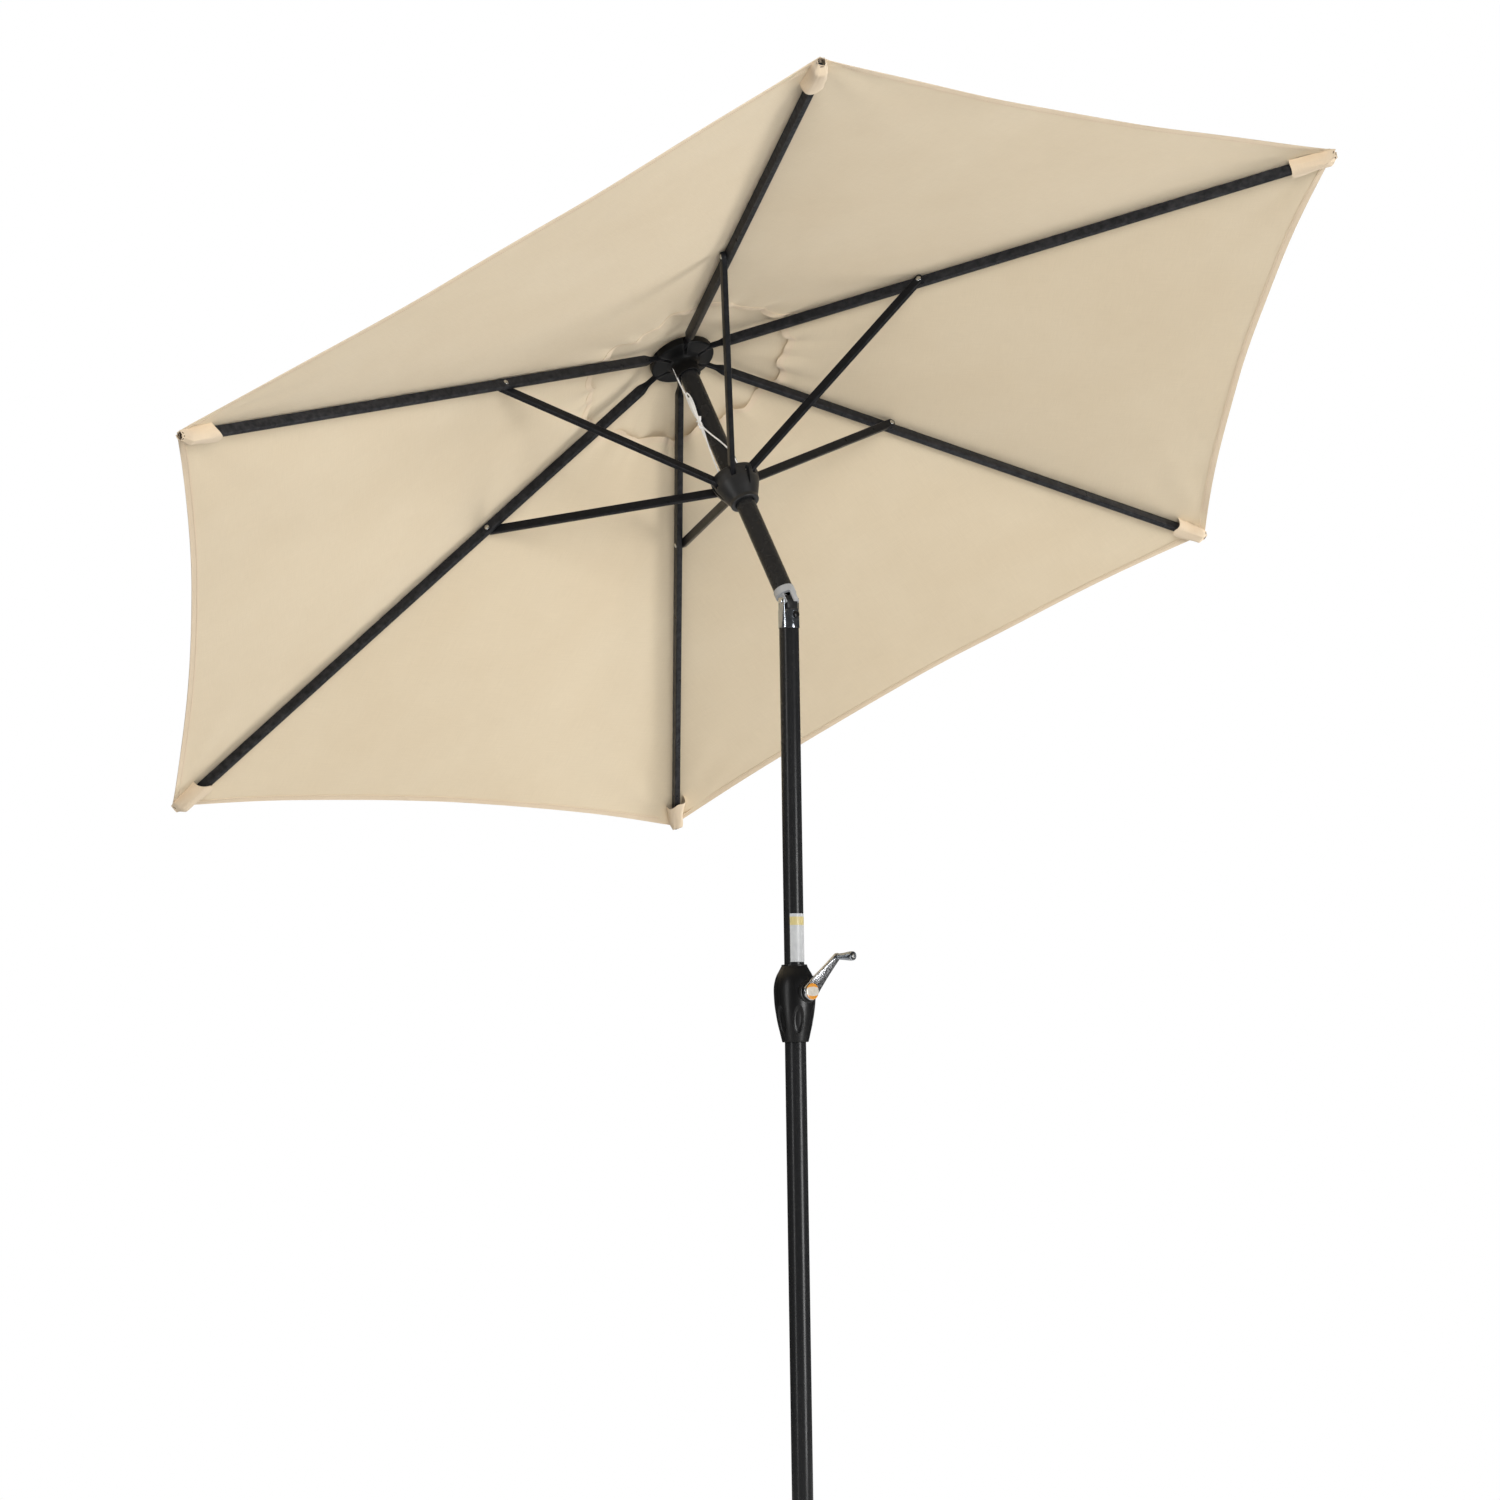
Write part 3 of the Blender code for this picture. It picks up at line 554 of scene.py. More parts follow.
# ---------------------------------------------------------------- base and poles
def base():
    lathe("plate", [(0.0, 0.012), (0.0249, 0.012), (0.0249, 0.04), (0.038, 0.04), (0.046, 0.026),
                    (0.11, 0.018),
                    (0.232, 0.013), (0.25, 0.008), (0.25, 0.0), (0.0, 0.0)],
          IRON, "base_stand", ["base_plate"], reach=0.004, steps=144)
    tube("socket_tube", 0.0246, 0.0225, 0.0123, 0.27, COAT, "base_stand", ["base_tube"])
    tube("socket_collar", 0.0262, 0.0206, 0.2703, 0.2755, PLASTIC, "base_stand", ["base_sleeve"],
         reach=0.0015)
    knob_at = Matrix.Translation((0, 0, JOINTS["knob_turn"]["pos_m"][2])) @ Matrix.Rotation(pi / 2, 4, "Y")
    lathe("socket_nut", [(0.0046, 0.038), (0.01, 0.038), (0.01, 0.0244), (0.0046, 0.0244)], GREY,
          "base_stand", ["clamp_nut"], knob_at, 0.0006, 6, soft=20.0)

    def lobed(r, z, a):
        return (r - 0.0014 * (1 + cos(7 * a)) * min(1.0, max(0.0, (r - 0.0125) / 0.006)), z)

    lathe("clamp_knob_head", [(0, 0.07), (0.016, 0.07), (0.02, 0.066), (0.02, 0.056), (0.012, 0.052),
                              (0.009, 0.0395), (0.0042, 0.0395), (0.0042, 0.0209), (0, 0.0209)],
          PLASTIC, "clamp_knob", ["clamp_knob"], knob_at, 0.0018, 112, shape=lobed)


def poles():
    crank_z = CRANK_AT.z
    tube("pole_lower", LOWER_POLE_R, LOWER_POLE_R - 0.0009, 0.0126, crank_z - 0.078, COAT, "lower_mast",
         ["lower_pole"])
    tube("pole_middle", POLE_R, POLE_R - WALL, crank_z - 0.148, TILT_PIN.z - 0.04, COAT, "lower_mast",
         ["middle_pole"])
    tube("pole_upper", POLE_R, POLE_R - WALL, 0.0173, HUB_RISE - 0.0155, COAT, "upper_mast",
         ["upper_pole"], MAST)
    low, tall, half_turn, columns, rows = 1.31, 0.092, radians(63), 40, 6
    points, cut = [], []
    for r in range(rows + 1):
        for c in range(columns + 1):
            a = half_turn * (2 * c / columns - 1)
            points.append(polar(POLE_R + 0.00025, a, low + tall * r / rows))
            cut.append((a * POLE_R, tall * r / rows))
    label = piece("care_label", points, grid_faces(rows + 1, columns + 1), LABEL, cut=cut)
    dress(thickened(label, 0.0002, 35.0), "lower_mast")


# ---------------------------------------------------------------- crank
HOUSING_TOP = CRANK_AT.z + 0.051
HOUSING_OUTER = [(0.0238, 0), (0.028, 0.008), (0.0345, 0.02), (0.0385, 0.033), (0.04, 0.046),
                 (0.0396, 0.062),
                 (0.0382, 0.08), (0.034, 0.107), (0.0295, 0.127), (0.0256, 0.1435), (0.0245, 0.146)]
HOUSING_INNER = [(0.0206, 0.146), (0.0206, 0.141), (0.026, 0.125), (0.031, 0.105), (0.035, 0.079),
                 (0.0365, 0.06), (0.0368, 0.046), (0.035, 0.034), (0.031, 0.022), (0.0194, 0.009),
                 (0.0194, 0)]


def crank_housing():
    """Two half shells that meet on the plane X = 0, with six long hollows round the lower half."""
    outer = smooth_line([(r, HOUSING_TOP - d, 0) for r, d in HOUSING_OUTER], 8)
    inner = [Vector((r, HOUSING_TOP - d, 0)) for r, d in HOUSING_INNER]
    profile = [(p.x, p.y) for p in outer + inner]
    hollow_mid, hollow_tall, hollow_wide, hollow_deep = 0.103, 0.026, 0.01, 0.0034

    def fluted(r, z, a):
        if z < HOUSING_TOP - 0.141 or z > HOUSING_TOP - 0.06:
            return r, z
        down = HOUSING_TOP - z
        turn = (a - radians(30)) % radians(60)
        turn = min(turn, radians(60) - turn)
        inside = 1 - (turn * r / hollow_wide) ** 2 - ((down - hollow_mid) / hollow_tall) ** 2
        return r - hollow_deep * min(1.0, max(0.0, inside) * 1.6) ** 0.5 * (inside > 0), z

    gap = 0.0035
    for name, start, node in (("housing_shell_front", -pi / 2 + gap, "crank_housing_front"),
                              ("housing_shell_back", pi / 2 + gap, "crank_housing_rear")):
        lathe(name, profile, PLASTIC, "lower_mast", [node], None, 0.0006, 150,
              (start, pi - 2 * gap), fluted, 50.0)
    seat = Matrix.Translation(CRANK_AT) @ Matrix.Rotation(pi / 2, 4, "Y")
    lathe("housing_seat", [(0.006, 0.0402), (0.0195, 0.0402), (0.0218, 0.0385), (0.0218, 0.029),
                           (0.006, 0.029)],
          PLASTIC, "lower_mast", (), seat, 0.0012)
    lathe("housing_boss", [(0.0, -0.0424), (0.0078, -0.0424), (0.0092, -0.041), (0.0092, -0.036),
                           (0.0, -0.036)],
          PLASTIC, "lower_mast", (), seat, 0.0012, 48)
    tube("housing_neck", 0.0246, 0.0196, HOUSING_TOP - 0.004, HOUSING_TOP + 0.0012, PLASTIC, "lower_mast",
         (), None, 0.0008)


def crank():
    axis = Matrix.Translation(CRANK_AT) @ Matrix.Rotation(pi / 2, 4, "Y")
    grip = Vector(JOINTS["grip_spin"]["pos_m"])
    reach, climb = grip.y, grip.z - CRANK_AT.z
    length, heading = hypot(reach, climb), atan2(reach, climb)
    lathe("shaft", [(0, 0.0492), (0.004, 0.0492), (0.004, -0.0205), (0, -0.0205)], ZINC, "crank",
          ["crank_shaft"], axis, 0.0005, 32)
    lathe("spool", [(0.014, 0.009), (0.014, 0.0075), (0.0109, 0.0065), (0.0109, -0.0065), (0.014, -0.0075),
                    (0.014, -0.009), (0.0043, -0.009), (0.0043, 0.009)],
          PLASTIC, "crank", ["crank_spool"], axis, 0.0005, 48)
    big, small, lean, thick = 0.017, 0.007, 0.01, 0.009
    side = pi / 2 - (big - small) / length
    low = 0.0405 + thick / 2
    sections = []
    for middle, radius, first, last in ((0.0, big, radians(174), side), (length, small, side, radians(6))):
        for k in range(17):
            a = first + (last - first) * k / 16
            x = middle + radius * cos(a)
            rise = min(1.0, max(0.0, (x - big) / (length - big)))
            edge = thick / 2 * (1 - 0.35 * max(0.0, abs(cos(a)) - 0.8) / 0.2)
            sections.append((x, radius * sin(a), edge, low + lean * rise))
    stretch = [(big + (length - big) * k / 8) for k in range(9)]
    waist = [(x, big + (small - big) * x / length - 0.0008 * sin(pi * (x - big) / (length - big)),
              thick / 2,
              low + lean * (x - big) / (length - big)) for x in stretch[:-1]]
    sections = sections[:17] + waist + sections[17:]
    sections = sorted(sections, key=lambda s: s[0])
    swing = axis @ Matrix.Rotation(pi - heading, 4, "Z")
    bar("arm", sections, CHROME_CAST, "crank", ["crank_arm"], swing, 0.0028)
    columns, rings = 64, [(0.0, 0.052), (0.006, 0.052), (0.0115, 0.0519), (0.0142, 0.0517), (0.0155, 0.051),
                          (0.0155, 0.0499), (0.0, 0.0499)]
    points, cut = [], []
    for r, z in rings:
        for c in range(columns):
            a = 2 * pi * c / columns
            points.append((r * cos(a), r * sin(a), z))
            cut.append((r * sin(a), -r * cos(a)))
    piece("arm_badge", points, grid_faces(len(rings), columns, True), BADGE, "crank", ["crank_badge"],
          axis, cut=cut)
    spin = Matrix.Translation((0, grip.y, grip.z)) @ Matrix.Rotation(pi / 2, 4, "Y")
    lathe("grip_pin", [(0, 0.1035), (0.003, 0.1035), (0.0042, 0.1026), (0.0042, 0.1018), (0.0025, 0.1018),
                       (0.0025, 0.052), (0, 0.052)], ZINC, "crank", ["crank_grip_pin"], spin, 0.0005, 40)
    flare = smooth_line([(0.0076, 0.1014, 0), (0.0086, 0.1004, 0), (0.00885, 0.0975, 0),
                         (0.0086, 0.0905, 0),
                         (0.0074, 0.081, 0), (0.0064, 0.07, 0), (0.006, 0.0612, 0)], 5)
    lathe("grip", [(p.x, p.y) for p in flare] + [(0.0029, 0.0605), (0.0029, 0.1008)], CHROME, "crank_grip",
          ["crank_grip"], spin, 0.0006, 56)


# ---------------------------------------------------------------- tilt joint
def tilt_joint():
    lower = Matrix.Translation(TILT_PIN)
    across = Matrix.Rotation(-pi / 2, 4, "X")
    ear, fork = 0.009, -0.018
    sleeve = lathe("tilt_sleeve", [(0.0205, 0.006), (0.0205, -0.052), (POLE_R + 0.0003, -0.052),
                                   (POLE_R + 0.0003, 0.006)], CHROME, reach=0.0004, frame_at=lower)
    tools = []
    for sign in (-1, 1):
        low, high = sorted((sign * ear, sign * 0.03))
        tools.append(("DIFFERENCE", box(f"cut_{sign}", (low, -0.03, fork), (high, 0.03, 0.03), lower)))
    button_at = Matrix.Translation((0, 0, -0.027)) @ Matrix.Rotation(pi / 2, 4, "Y")
    tools.append(("DIFFERENCE", lathe("cut_button", [(0, 0.03), (0.0069, 0.03), (0.0069, 0.0), (0, 0.0)],
                                      ZINC,
                                      frame_at=lower @ button_at, reach=0.0, steps=40)))
    dress(trimmed(sleeve, tools, 0.0004), "lower_mast", ["tilt_lower_sleeve"])
    lathe("tilt_pin_heads", [(0, 0.0223), (0.0045, 0.0223), (0.0055, 0.0216), (0.0055, 0.0208),
                             (0.0035, 0.0208),
                             (0.0035, -0.0208), (0.0055, -0.0208), (0.0055, -0.0216), (0.0045, -0.0223),
                             (0, -0.0223)], ZINC, "lower_mast", ["tilt_pin"], lower @ across, 0.0006, 40)
    lathe("tilt_push_button", [(0, 0.0248), (0.0036, 0.0248), (0.0056, 0.0243), (0.0062, 0.023),
                               (0.0062, 0.0085),
                               (0, 0.0085)], PLASTIC, "tilt_button", ["tilt_button"],
          lower @ button_at, 0.0008, 48)
    knuckle = [(-0.0046, -0.0146, 0), (0.0116, -0.0146, 0), (0.0116, 0.0006, 0)]
    knuckle += [(0.0116 * cos(a), 0.0116 * sin(a), 0) for a in [radians(10 * k) for k in range(1, 12)]]
    knuckle += [(-0.0046, 0.0102, 0)]
    faces = grid_faces(2, len(knuckle), True)
    faces += [list(range(len(knuckle))), list(range(len(knuckle), 2 * len(knuckle)))]
    block = piece("tilt_knuckle", [(x, y, z) for y in (-0.0127, 0.0127) for x, z, _ in knuckle], faces,
                  PLASTIC,
                  frame_at=lower)
    dress(trimmed(block, [], 0.0006), "lower_mast")
    floor = 0.0125
    bracket = lathe("tilt_collar", [(0.0206, 0.027), (0.0206, floor), (0.012, floor),
                                    (0.012, floor + 0.0045),
                                    (POLE_R + 0.0003, floor + 0.0045), (POLE_R + 0.0003, 0.027)], GREY,
                    frame_at=MAST, reach=0.0005)
    tools = []
    for sign in (-1, 1):
        low, high = sorted((sign * 0.0132, sign * 0.0158))
        tools.append(("UNION", box(f"ear_{sign}", (-ear, low, -0.008), (ear, high, floor + 0.002), MAST,
                                   GREY)))
    tongue = box("tongue", (0.0172, -0.006, -0.013), (0.0202, 0.006, floor + 0.002), MAST, GREY)
    tools.append(("UNION", tongue))
    dress(trimmed(bracket, tools, 0.0005), "upper_mast", ["tilt_upper_bracket"])


# ---------------------------------------------------------------- hub and runner
def hex_wire(name, apothem, body, node, at):
    line = []
    for k in range(RIBS):
        middle = RIB_ANGLES[0] + (k + 0.5) * 2 * pi / RIBS
        for bend in (-0.1, -0.06, -0.02, 0.02, 0.06, 0.1):
            reach = apothem / cos(FLAT - max(abs(bend), 0.03))
            line.append(polar(reach, middle + bend))
    piece(name, *swept(line, 0.0015, 12, True), ZINC, body, [node], at)


def hub():
    profile = [(0, 0.008), (0.0635, 0.008), (0.065, 0.006), (0.065, -0.007), (0.0625, -0.009),
               (0.036, -0.011),
               (0.0275, -0.015), (0.025, -0.021), (0.025, -0.042), (POLE_R + 0.0004, -0.042),
               (POLE_R + 0.0004, -0.0152), (0, -0.0152)]
    # The hub, its top plate and the finial are in the black plastic darkened as painted shade
    body = lathe("hub_body", profile, HUB_BLACK_PAINTED_SHADE, frame_at=HUB, reach=0.0016, steps=120)
    tools = []
    for k, angle in enumerate(RIB_ANGLES):
        slot = box(f"cut_{k}", (0.032, -0.0034, -0.03), (0.08, 0.0034, 0.02), facing(HUB, angle))
        tools.append(("DIFFERENCE", slot))
    well = box("cut_well", (0.0025, -0.0032, -0.05), (0.0275, 0.0032, 0.02), facing(HUB, CORD_SIDE))
    tools.append(("DIFFERENCE", well))
    dress(trimmed(body, tools, 0.0004), "upper_mast", ["top_hub"])
    hex_wire("hub_wire", RIB_PIVOT_R, "upper_mast", "hub_ring", HUB)
    lathe("hub_top_plate", [(0.03, 0.0145), (0.0515, 0.0138), (0.056, 0.01), (0.0622, 0.009),
                            (0.0628, 0.0083),
                            (0.0044, 0.0083), (0.0044, 0.0145)], HUB_BLACK_PAINTED_SHADE, "upper_mast", ["hub_cap"], HUB,
          0.001)
    crown = smooth_line([(0.0, 0.066, 0), (0.006, 0.0652, 0), (0.0115, 0.062, 0), (0.016, 0.056, 0),
                         (0.0178, 0.048, 0), (0.0165, 0.04, 0), (0.013, 0.034, 0), (0.0118, 0.03, 0),
                         (0.015, 0.0268, 0), (0.0235, 0.0248, 0)], 5)
    lathe("finial_knob", [(p.x, p.y) for p in crown] + [(0.025, 0.0238), (0.025, 0.019), (0.0041, 0.019),
                                                        (0.0041, 0.009), (0, 0.009)],
          HUB_BLACK_PAINTED_SHADE, "upper_mast", ["finial"], HUB, 0.0005, 64)


def runner():
    profile = [(0.0455, 0.012), (0.0473, 0.0105), (0.0473, 0.001), (0.044, -0.0135), (0.0375, -0.029),
               (0.0298, -0.044), (0.0288, -0.046), (0.0288, -0.054), (POLE_R + 0.0005, -0.054),
               (POLE_R + 0.0005, 0.012)]
    body = lathe("runner_body", profile, RUNNER_BLACK, frame_at=RUNNER, reach=0.0022, steps=120)
    tools = []
    for k, angle in enumerate(RIB_ANGLES):
        low, high = (0.0239, -STRUT_OFFSET - 0.0054, -0.0105), (0.065, -STRUT_OFFSET + 0.0054, 0.03)
        tools.append(("DIFFERENCE", box(f"cut_{k}", low, high, facing(RUNNER, angle))))
    tear = [(0.0, 0.004, 0), (-0.0032, 0.0026, 0), (-0.0046, -0.001, 0), (-0.0043, -0.0075, 0),
            (-0.0026, -0.021, 0), (0.0, -0.034, 0), (0.0026, -0.021, 0), (0.0043, -0.0075, 0),
            (0.0046, -0.001, 0), (0.0032, 0.0026, 0)]
    ring = smooth_line(tear + tear[:1], 4)[:-1]
    count = len(ring)
    faces = grid_faces(2, count, True) + [list(range(count)), list(range(count, 2 * count))]
    for k, angle in enumerate(RIB_ANGLES[1::2]):
        points = [(x, p.x, p.y) for x in (0.0325, 0.06) for p in ring]
        tear_at = facing(RUNNER, angle + FLAT - radians(7))
        tools.append(("DIFFERENCE", piece(f"cut_tear_{k}", points, faces, ZINC, frame_at=tear_at)))
    dress(trimmed(body, tools, 0.0004), "runner", ["runner"])
    hex_wire("runner_wire", STRUT_PIVOT_R, "runner", "runner_ring", RUNNER)


def pulley():
    at = turned_frame(HUB, polar(PULLEY_OUT, CORD_SIDE, -PULLEY_DROP), CORD_SIDE,
                      0) @ Matrix.Rotation(-pi / 2, 4, "X")
    lathe("pulley_wheel", [(0.01, 0.0027), (0.01, 0.002), (0.008, 0.0014), (0.008, -0.0014),
                           (0.01, -0.002), (0.01, -0.0027), (0.0019, -0.0027), (0.0019, 0.0027)],
          PLASTIC, "cord_pulley", ["cord_pulley"], at, 0.0004, 48)
    lathe("pulley_pin", [(0, 0.009), (0.0015, 0.009), (0.0015, -0.009), (0, -0.009)], ZINC, "upper_mast",
          ["pulley_axle"], at, 0.0003, 24)


# ---------------------------------------------------------------- ribs and struts
def rivet(name, body, frame_at, face, sign, stands_for=()):
    """A domed rivet head on a face square to the frame's Y, standing out to one side."""
    dome = [(0.0, 0.0021), (0.0018, 0.002), (0.0036, 0.0014), (0.005, 0.0005), (0.0052, -0.0002),
            (0.0, -0.0002)]
    lathe(name, [(r, face + z) for r, z in dome], ZINC, body, stands_for,
          frame_at @ Matrix.Rotation(-sign * pi / 2, 4, "X"), 0.0003, 40)


def rib(number, angle):
    at = turned_frame(HUB, polar(RIB_PIVOT_R, angle), angle, RIB_DROOP)
    wide, high = 0.006, 0.01
    neck = [(0.042 + 0.024 * t, 0.003 + 0.003 * t * t * (3 - 2 * t), 0.006 + 0.004 * t * t * (3 - 2 * t))
            for t in (0, 0.2, 0.4, 0.6, 0.8, 1.0)]
    end = [(RIB_LENGTH - 0.0005, wide, high), (RIB_LENGTH, wide - 0.0004, high - 0.0004)]
    tongue = round_end(0.0, 0.006, 0.003, -1)[::-1]
    body = f"rib_arm_{number}"
    bar(f"rib_tube_{number}", tongue + neck + end, STEEL, body, [f"rib_{number}"], at, 0.0022)
    pin = at @ Matrix.Translation((PIN_ALONG, 0, 0))
    rivet(f"rib_rivet_{number}", body, pin, wide, 1, [f"rivet_{number}"])


def strut(number, angle):
    offset = Vector((sin(angle), -cos(angle), 0)) * STRUT_OFFSET
    at = turned_frame(RUNNER, polar(STRUT_PIVOT_R, angle) + offset, angle, -STRUT_CLIMB)
    wide, high = 0.005, 0.0085
    body = f"strut_arm_{number}"
    bar(f"strut_tube_{number}", round_end(0.0, high, wide, -1)[::-1] + round_end(STRUT_LENGTH, high, wide,
                                                                                 1),
        STEEL, body, [f"strut_{number}"], at, 0.002)
    rivet(f"strut_rivet_{number}", body, at @ Matrix.Translation((STRUT_LENGTH, 0, 0)), wide, -1)


# ---------------------------------------------------------------- canopy
RANDOM = np.random.default_rng(20)
PHASES = RANDOM.uniform(0, 2 * pi, (RIBS, 8))


def cloth_height(out):
    """Height above the hub's pivots of a flat panel between two ribs, by distance out along its middle."""
    return CLOTH_RISE / cos(RIB_DROOP) - (out / cos(FLAT) - RIB_PIVOT_R) * tan(RIB_DROOP)


def eased(value):
    value = np.clip(value, 0, 1)
    return value * value * (3 - 2 * value)


def placed(number, side, out, across, height):
    """A panel's own distances out and across, as points in the hub's frame and as cut coordinates."""
    angle = RIB_ANGLES[number - 1] + side * FLAT
    x = out * np.cos(angle) + side * across * np.sin(angle)
    y = out * np.sin(angle) - side * across * np.cos(angle)
    return np.stack([x, y, height], -1), np.stack([across * side, out], -1)


def canopy_points(number, side, share, t):
    """Points of the canopy's mid surface in the hub's frame. share is 1 at the rib, 0 half way to the next,
    and t runs from the vent to the hem. Everything is even about share 0, so that panels meet smoothly."""
    phase = PHASES[number - 1]
    away = eased(share / 0.3)
    inner = VENT_R * cos(FLAT) + 0.01 * (1 - share ** 2)
    inner = inner + 0.01 * away * np.sin(7.5 * (1 - share) * side + phase[0])
    hem = CANOPY_R * cos(FLAT) - HEM_SAG * (1 - share ** 2)
    out = inner * (1 - t) + hem * t
    half = VENT_R / 2 * (1 - t) + CANOPY_R / 2 * t
    across = share * half
    height = cloth_height(out)
    from_rib = (1 - share) * half
    belly = 0.013 * (1 - share ** 2) * np.sin(pi * np.clip(t, 0, 1)) ** 0.8
    pucker = 0.001 * np.sin(2 * pi * out / 0.046 + phase[1]) * np.exp(-from_rib / 0.035)
    tip_out, tip_across = CANOPY_R * cos(FLAT), CANOPY_R / 2
    reach = np.hypot(tip_out - out, tip_across - across)
    bearing = np.arctan2(tip_across - across, tip_out - out + 1e-9)
    pull = 0.0026 * np.exp(-reach / 0.2) * np.sin(17 * bearing + phase[2] + side)
    pull = pull * away * eased(from_rib / 0.02)
    drift = 0.0022 * np.sin(5.2 * t + phase[3]) * np.sin(pi * share) ** 2
    flutter = 0.0008 * t ** 10 * (np.cos(3 * pi * share) + away * np.sin(9 * share + phase[4]) * (1 - share))
    near_vent = np.exp(-(out - inner) / 0.045)
    lift = 0.006 * near_vent * away * np.sin(9.0 * (1 - share) * side + phase[5]) * eased(from_rib / 0.02)
    height = height - belly + pucker + pull + drift + flutter + lift
    return placed(number, side, out, across, height)


def cap_points(number, side, share, t):
    """Points of the vent cap's mid surface in the hub's frame, from its clamped middle to its hem."""
    phase = PHASES[number - 1]
    away = eased(share / 0.3)
    outer = CAP_R * cos(FLAT) - 0.014 * (1 - share ** 2)
    turn = FLAT * share
    blend = eased(t * 1.4)
    flat_out = CAP_ROOT_R * (1 - t) + outer * t
    out = flat_out * blend + CAP_ROOT_R * np.cos(turn) * (1 - t) * (1 - blend) + outer * t * (1 - blend)
    across = (CAP_ROOT_R * np.sin(turn)) * (1 - t) + share * CAP_R / 2 * t
    corner = np.hypot(out, across)
    height = np.interp(out / np.cos(FLAT) * blend + corner * (1 - blend),
                       [0.0, 0.062, 0.1, 0.15, 0.28, 0.3],
                       [0.0152, 0.0152, 0.0068, -0.008, -0.036, -0.0403])
    height = height - 0.003 * (1 - share ** 2) * np.sin(pi * t)
    height = height + 0.0022 * t ** 3 * (np.cos(3 * pi * share) - 1) + 0.0016 * t ** 2 * away * np.sin(
        8 * (1 - share) * side + phase[6]) * (1 - share)
    rim_wave = 0.0006 * np.sin(2 * pi * corner / 0.03 + phase[7])
    height = height + rim_wave * np.exp(-(1 - share) * 6) * eased(t * 5)
    return placed(number, side, out, across, height)


def across_rib(count, low=0.0, high=1.0):
    """Steps across a rib, from mid panel to mid panel: each one's side, and its share of the way to the rib."""
    strip = np.linspace(-1, 1, count)
    return np.where(strip <= 0, 1.0, -1.0), high - (high - low) * np.abs(strip)


def cloth_grid(surface, number, columns, rows, first=0.0, last=1.0, low=0.0):
    """A surface over one rib, or its middle from a share of low: its points, cut coordinates and faces."""
    side, share = across_rib(2 * columns + 1, low)
    t = first + (last - first) * np.linspace(0, 1, rows + 1)[:, None]
    points, cut = surface(number, side[None, :] + 0 * t, share[None, :] + 0 * t, t + 0 * share[None, :])
    return points.reshape(-1, 3), cut.reshape(-1, 2), grid_faces(rows + 1, 2 * columns + 1)


def on_rib(made, number, stands_for=()):
    """Rides a piece on a rib, on a mesh of its own."""
    dress(made, f"rib_arm_{number}", stands_for)
    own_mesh(made)
    return made


def cloth_piece(name, number, grid, look=CANVAS, thickness=CLOTH, stands_for=()):
    """A sheet of cloth built from a grid, given its thickness, riding on its rib."""
    points, cut, faces = grid
    made = piece(name, points, faces, look, frame_at=HUB, cut=cut, merge=0, angle=180.0)
    return on_rib(thickened(made, thickness), number, stands_for)


def lap(name, number, surface, root, end, last):
    """A thin edge of one sheet inside the next, which closes the gap between them as the ribs fold.
    root and end are half the sheet's width where it starts and stops."""
    rows, columns = 48, 5
    t, step = np.meshgrid(np.linspace(0.01, last, rows), np.linspace(-0.25, 1.0, columns), indexing="ij")
    points, cut = surface(number, 1, -step * LAP / (root * (1 - t) + end * t), t)
    grid = (points.reshape(-1, 3).tolist(), cut.reshape(-1, 2).tolist(), grid_faces(rows, columns))
    return cloth_piece(name, number, grid, thickness=0.0003)


def lowered(points, depth):
    points = np.array(points, float)
    points[:, 2] -= depth
    return points


def stitches(number, at):
    """The short threads along a canopy hem, as one mesh."""
    points, faces = [], []
    side, share = across_rib(330, 0.0, 0.97)
    line, _ = canopy_points(number, side, share, at + 0 * share)
    line = lowered(line, 0.0016)
    for a, b in zip(line[:-1], line[1:]):
        along = (b - a) * 0.32
        middle = (a + b) / 2
        cross = np.cross(along, (0, 0, 1))
        cross = cross / (np.linalg.norm(cross) + 1e-12) * 0.0006
        start = len(points)
        points += [middle - along, middle + cross, middle + along, middle - cross, middle - (0, 0, 0.0006),
                   middle + (0, 0, 0.0003)]
        for k in range(4):
            faces += [(start + k, start + (k + 1) % 4, start + 4),
                      (start + (k + 1) % 4, start + k, start + 5)]
    made = piece(f"canopy_stitch_{number}", points, faces, THREAD, frame_at=HUB, merge=0, angle=60.0)
    return on_rib(made, number)


def canopy(number):
    """One rib's share of the canopy, with its hem, its seam over the rib, its stitching and its pocket."""
    long = (CANOPY_R - VENT_R) * cos(FLAT)
    panel = cloth_piece(f"canopy_cloth_{number}", number, cloth_grid(canopy_points, number, 26, 60),
                        stands_for=[f"canopy_panel_{number}"])
    for name, columns, rows, first, last, low, depth in (("hem", 40, 3, 1 - HEM / long, 1.0, 0.0,
                                                          CLOTH + 0.0001),
                                                         ("vent_hem", 40, 3, 0.0, HEM / long, 0.0,
                                                          CLOTH + 0.0001),
                                                         ("seam", 4, 90, 0.004, 0.997, 0.985,
                                                          -CLOTH - 0.0002)):
        points, cut, faces = cloth_grid(canopy_points, number, columns, rows, first, last, low)
        grid = (lowered(points, depth), cut, faces)
        cloth_piece(f"canopy_{name}_{number}", number, grid, CANVAS_EDGE)
    stitches(number, 1 - (HEM - 0.003) / long)
    lap(f"canopy_lap_{number}", number, canopy_points, VENT_R / 2, CANOPY_R / 2, 0.75)
    pocket(number)


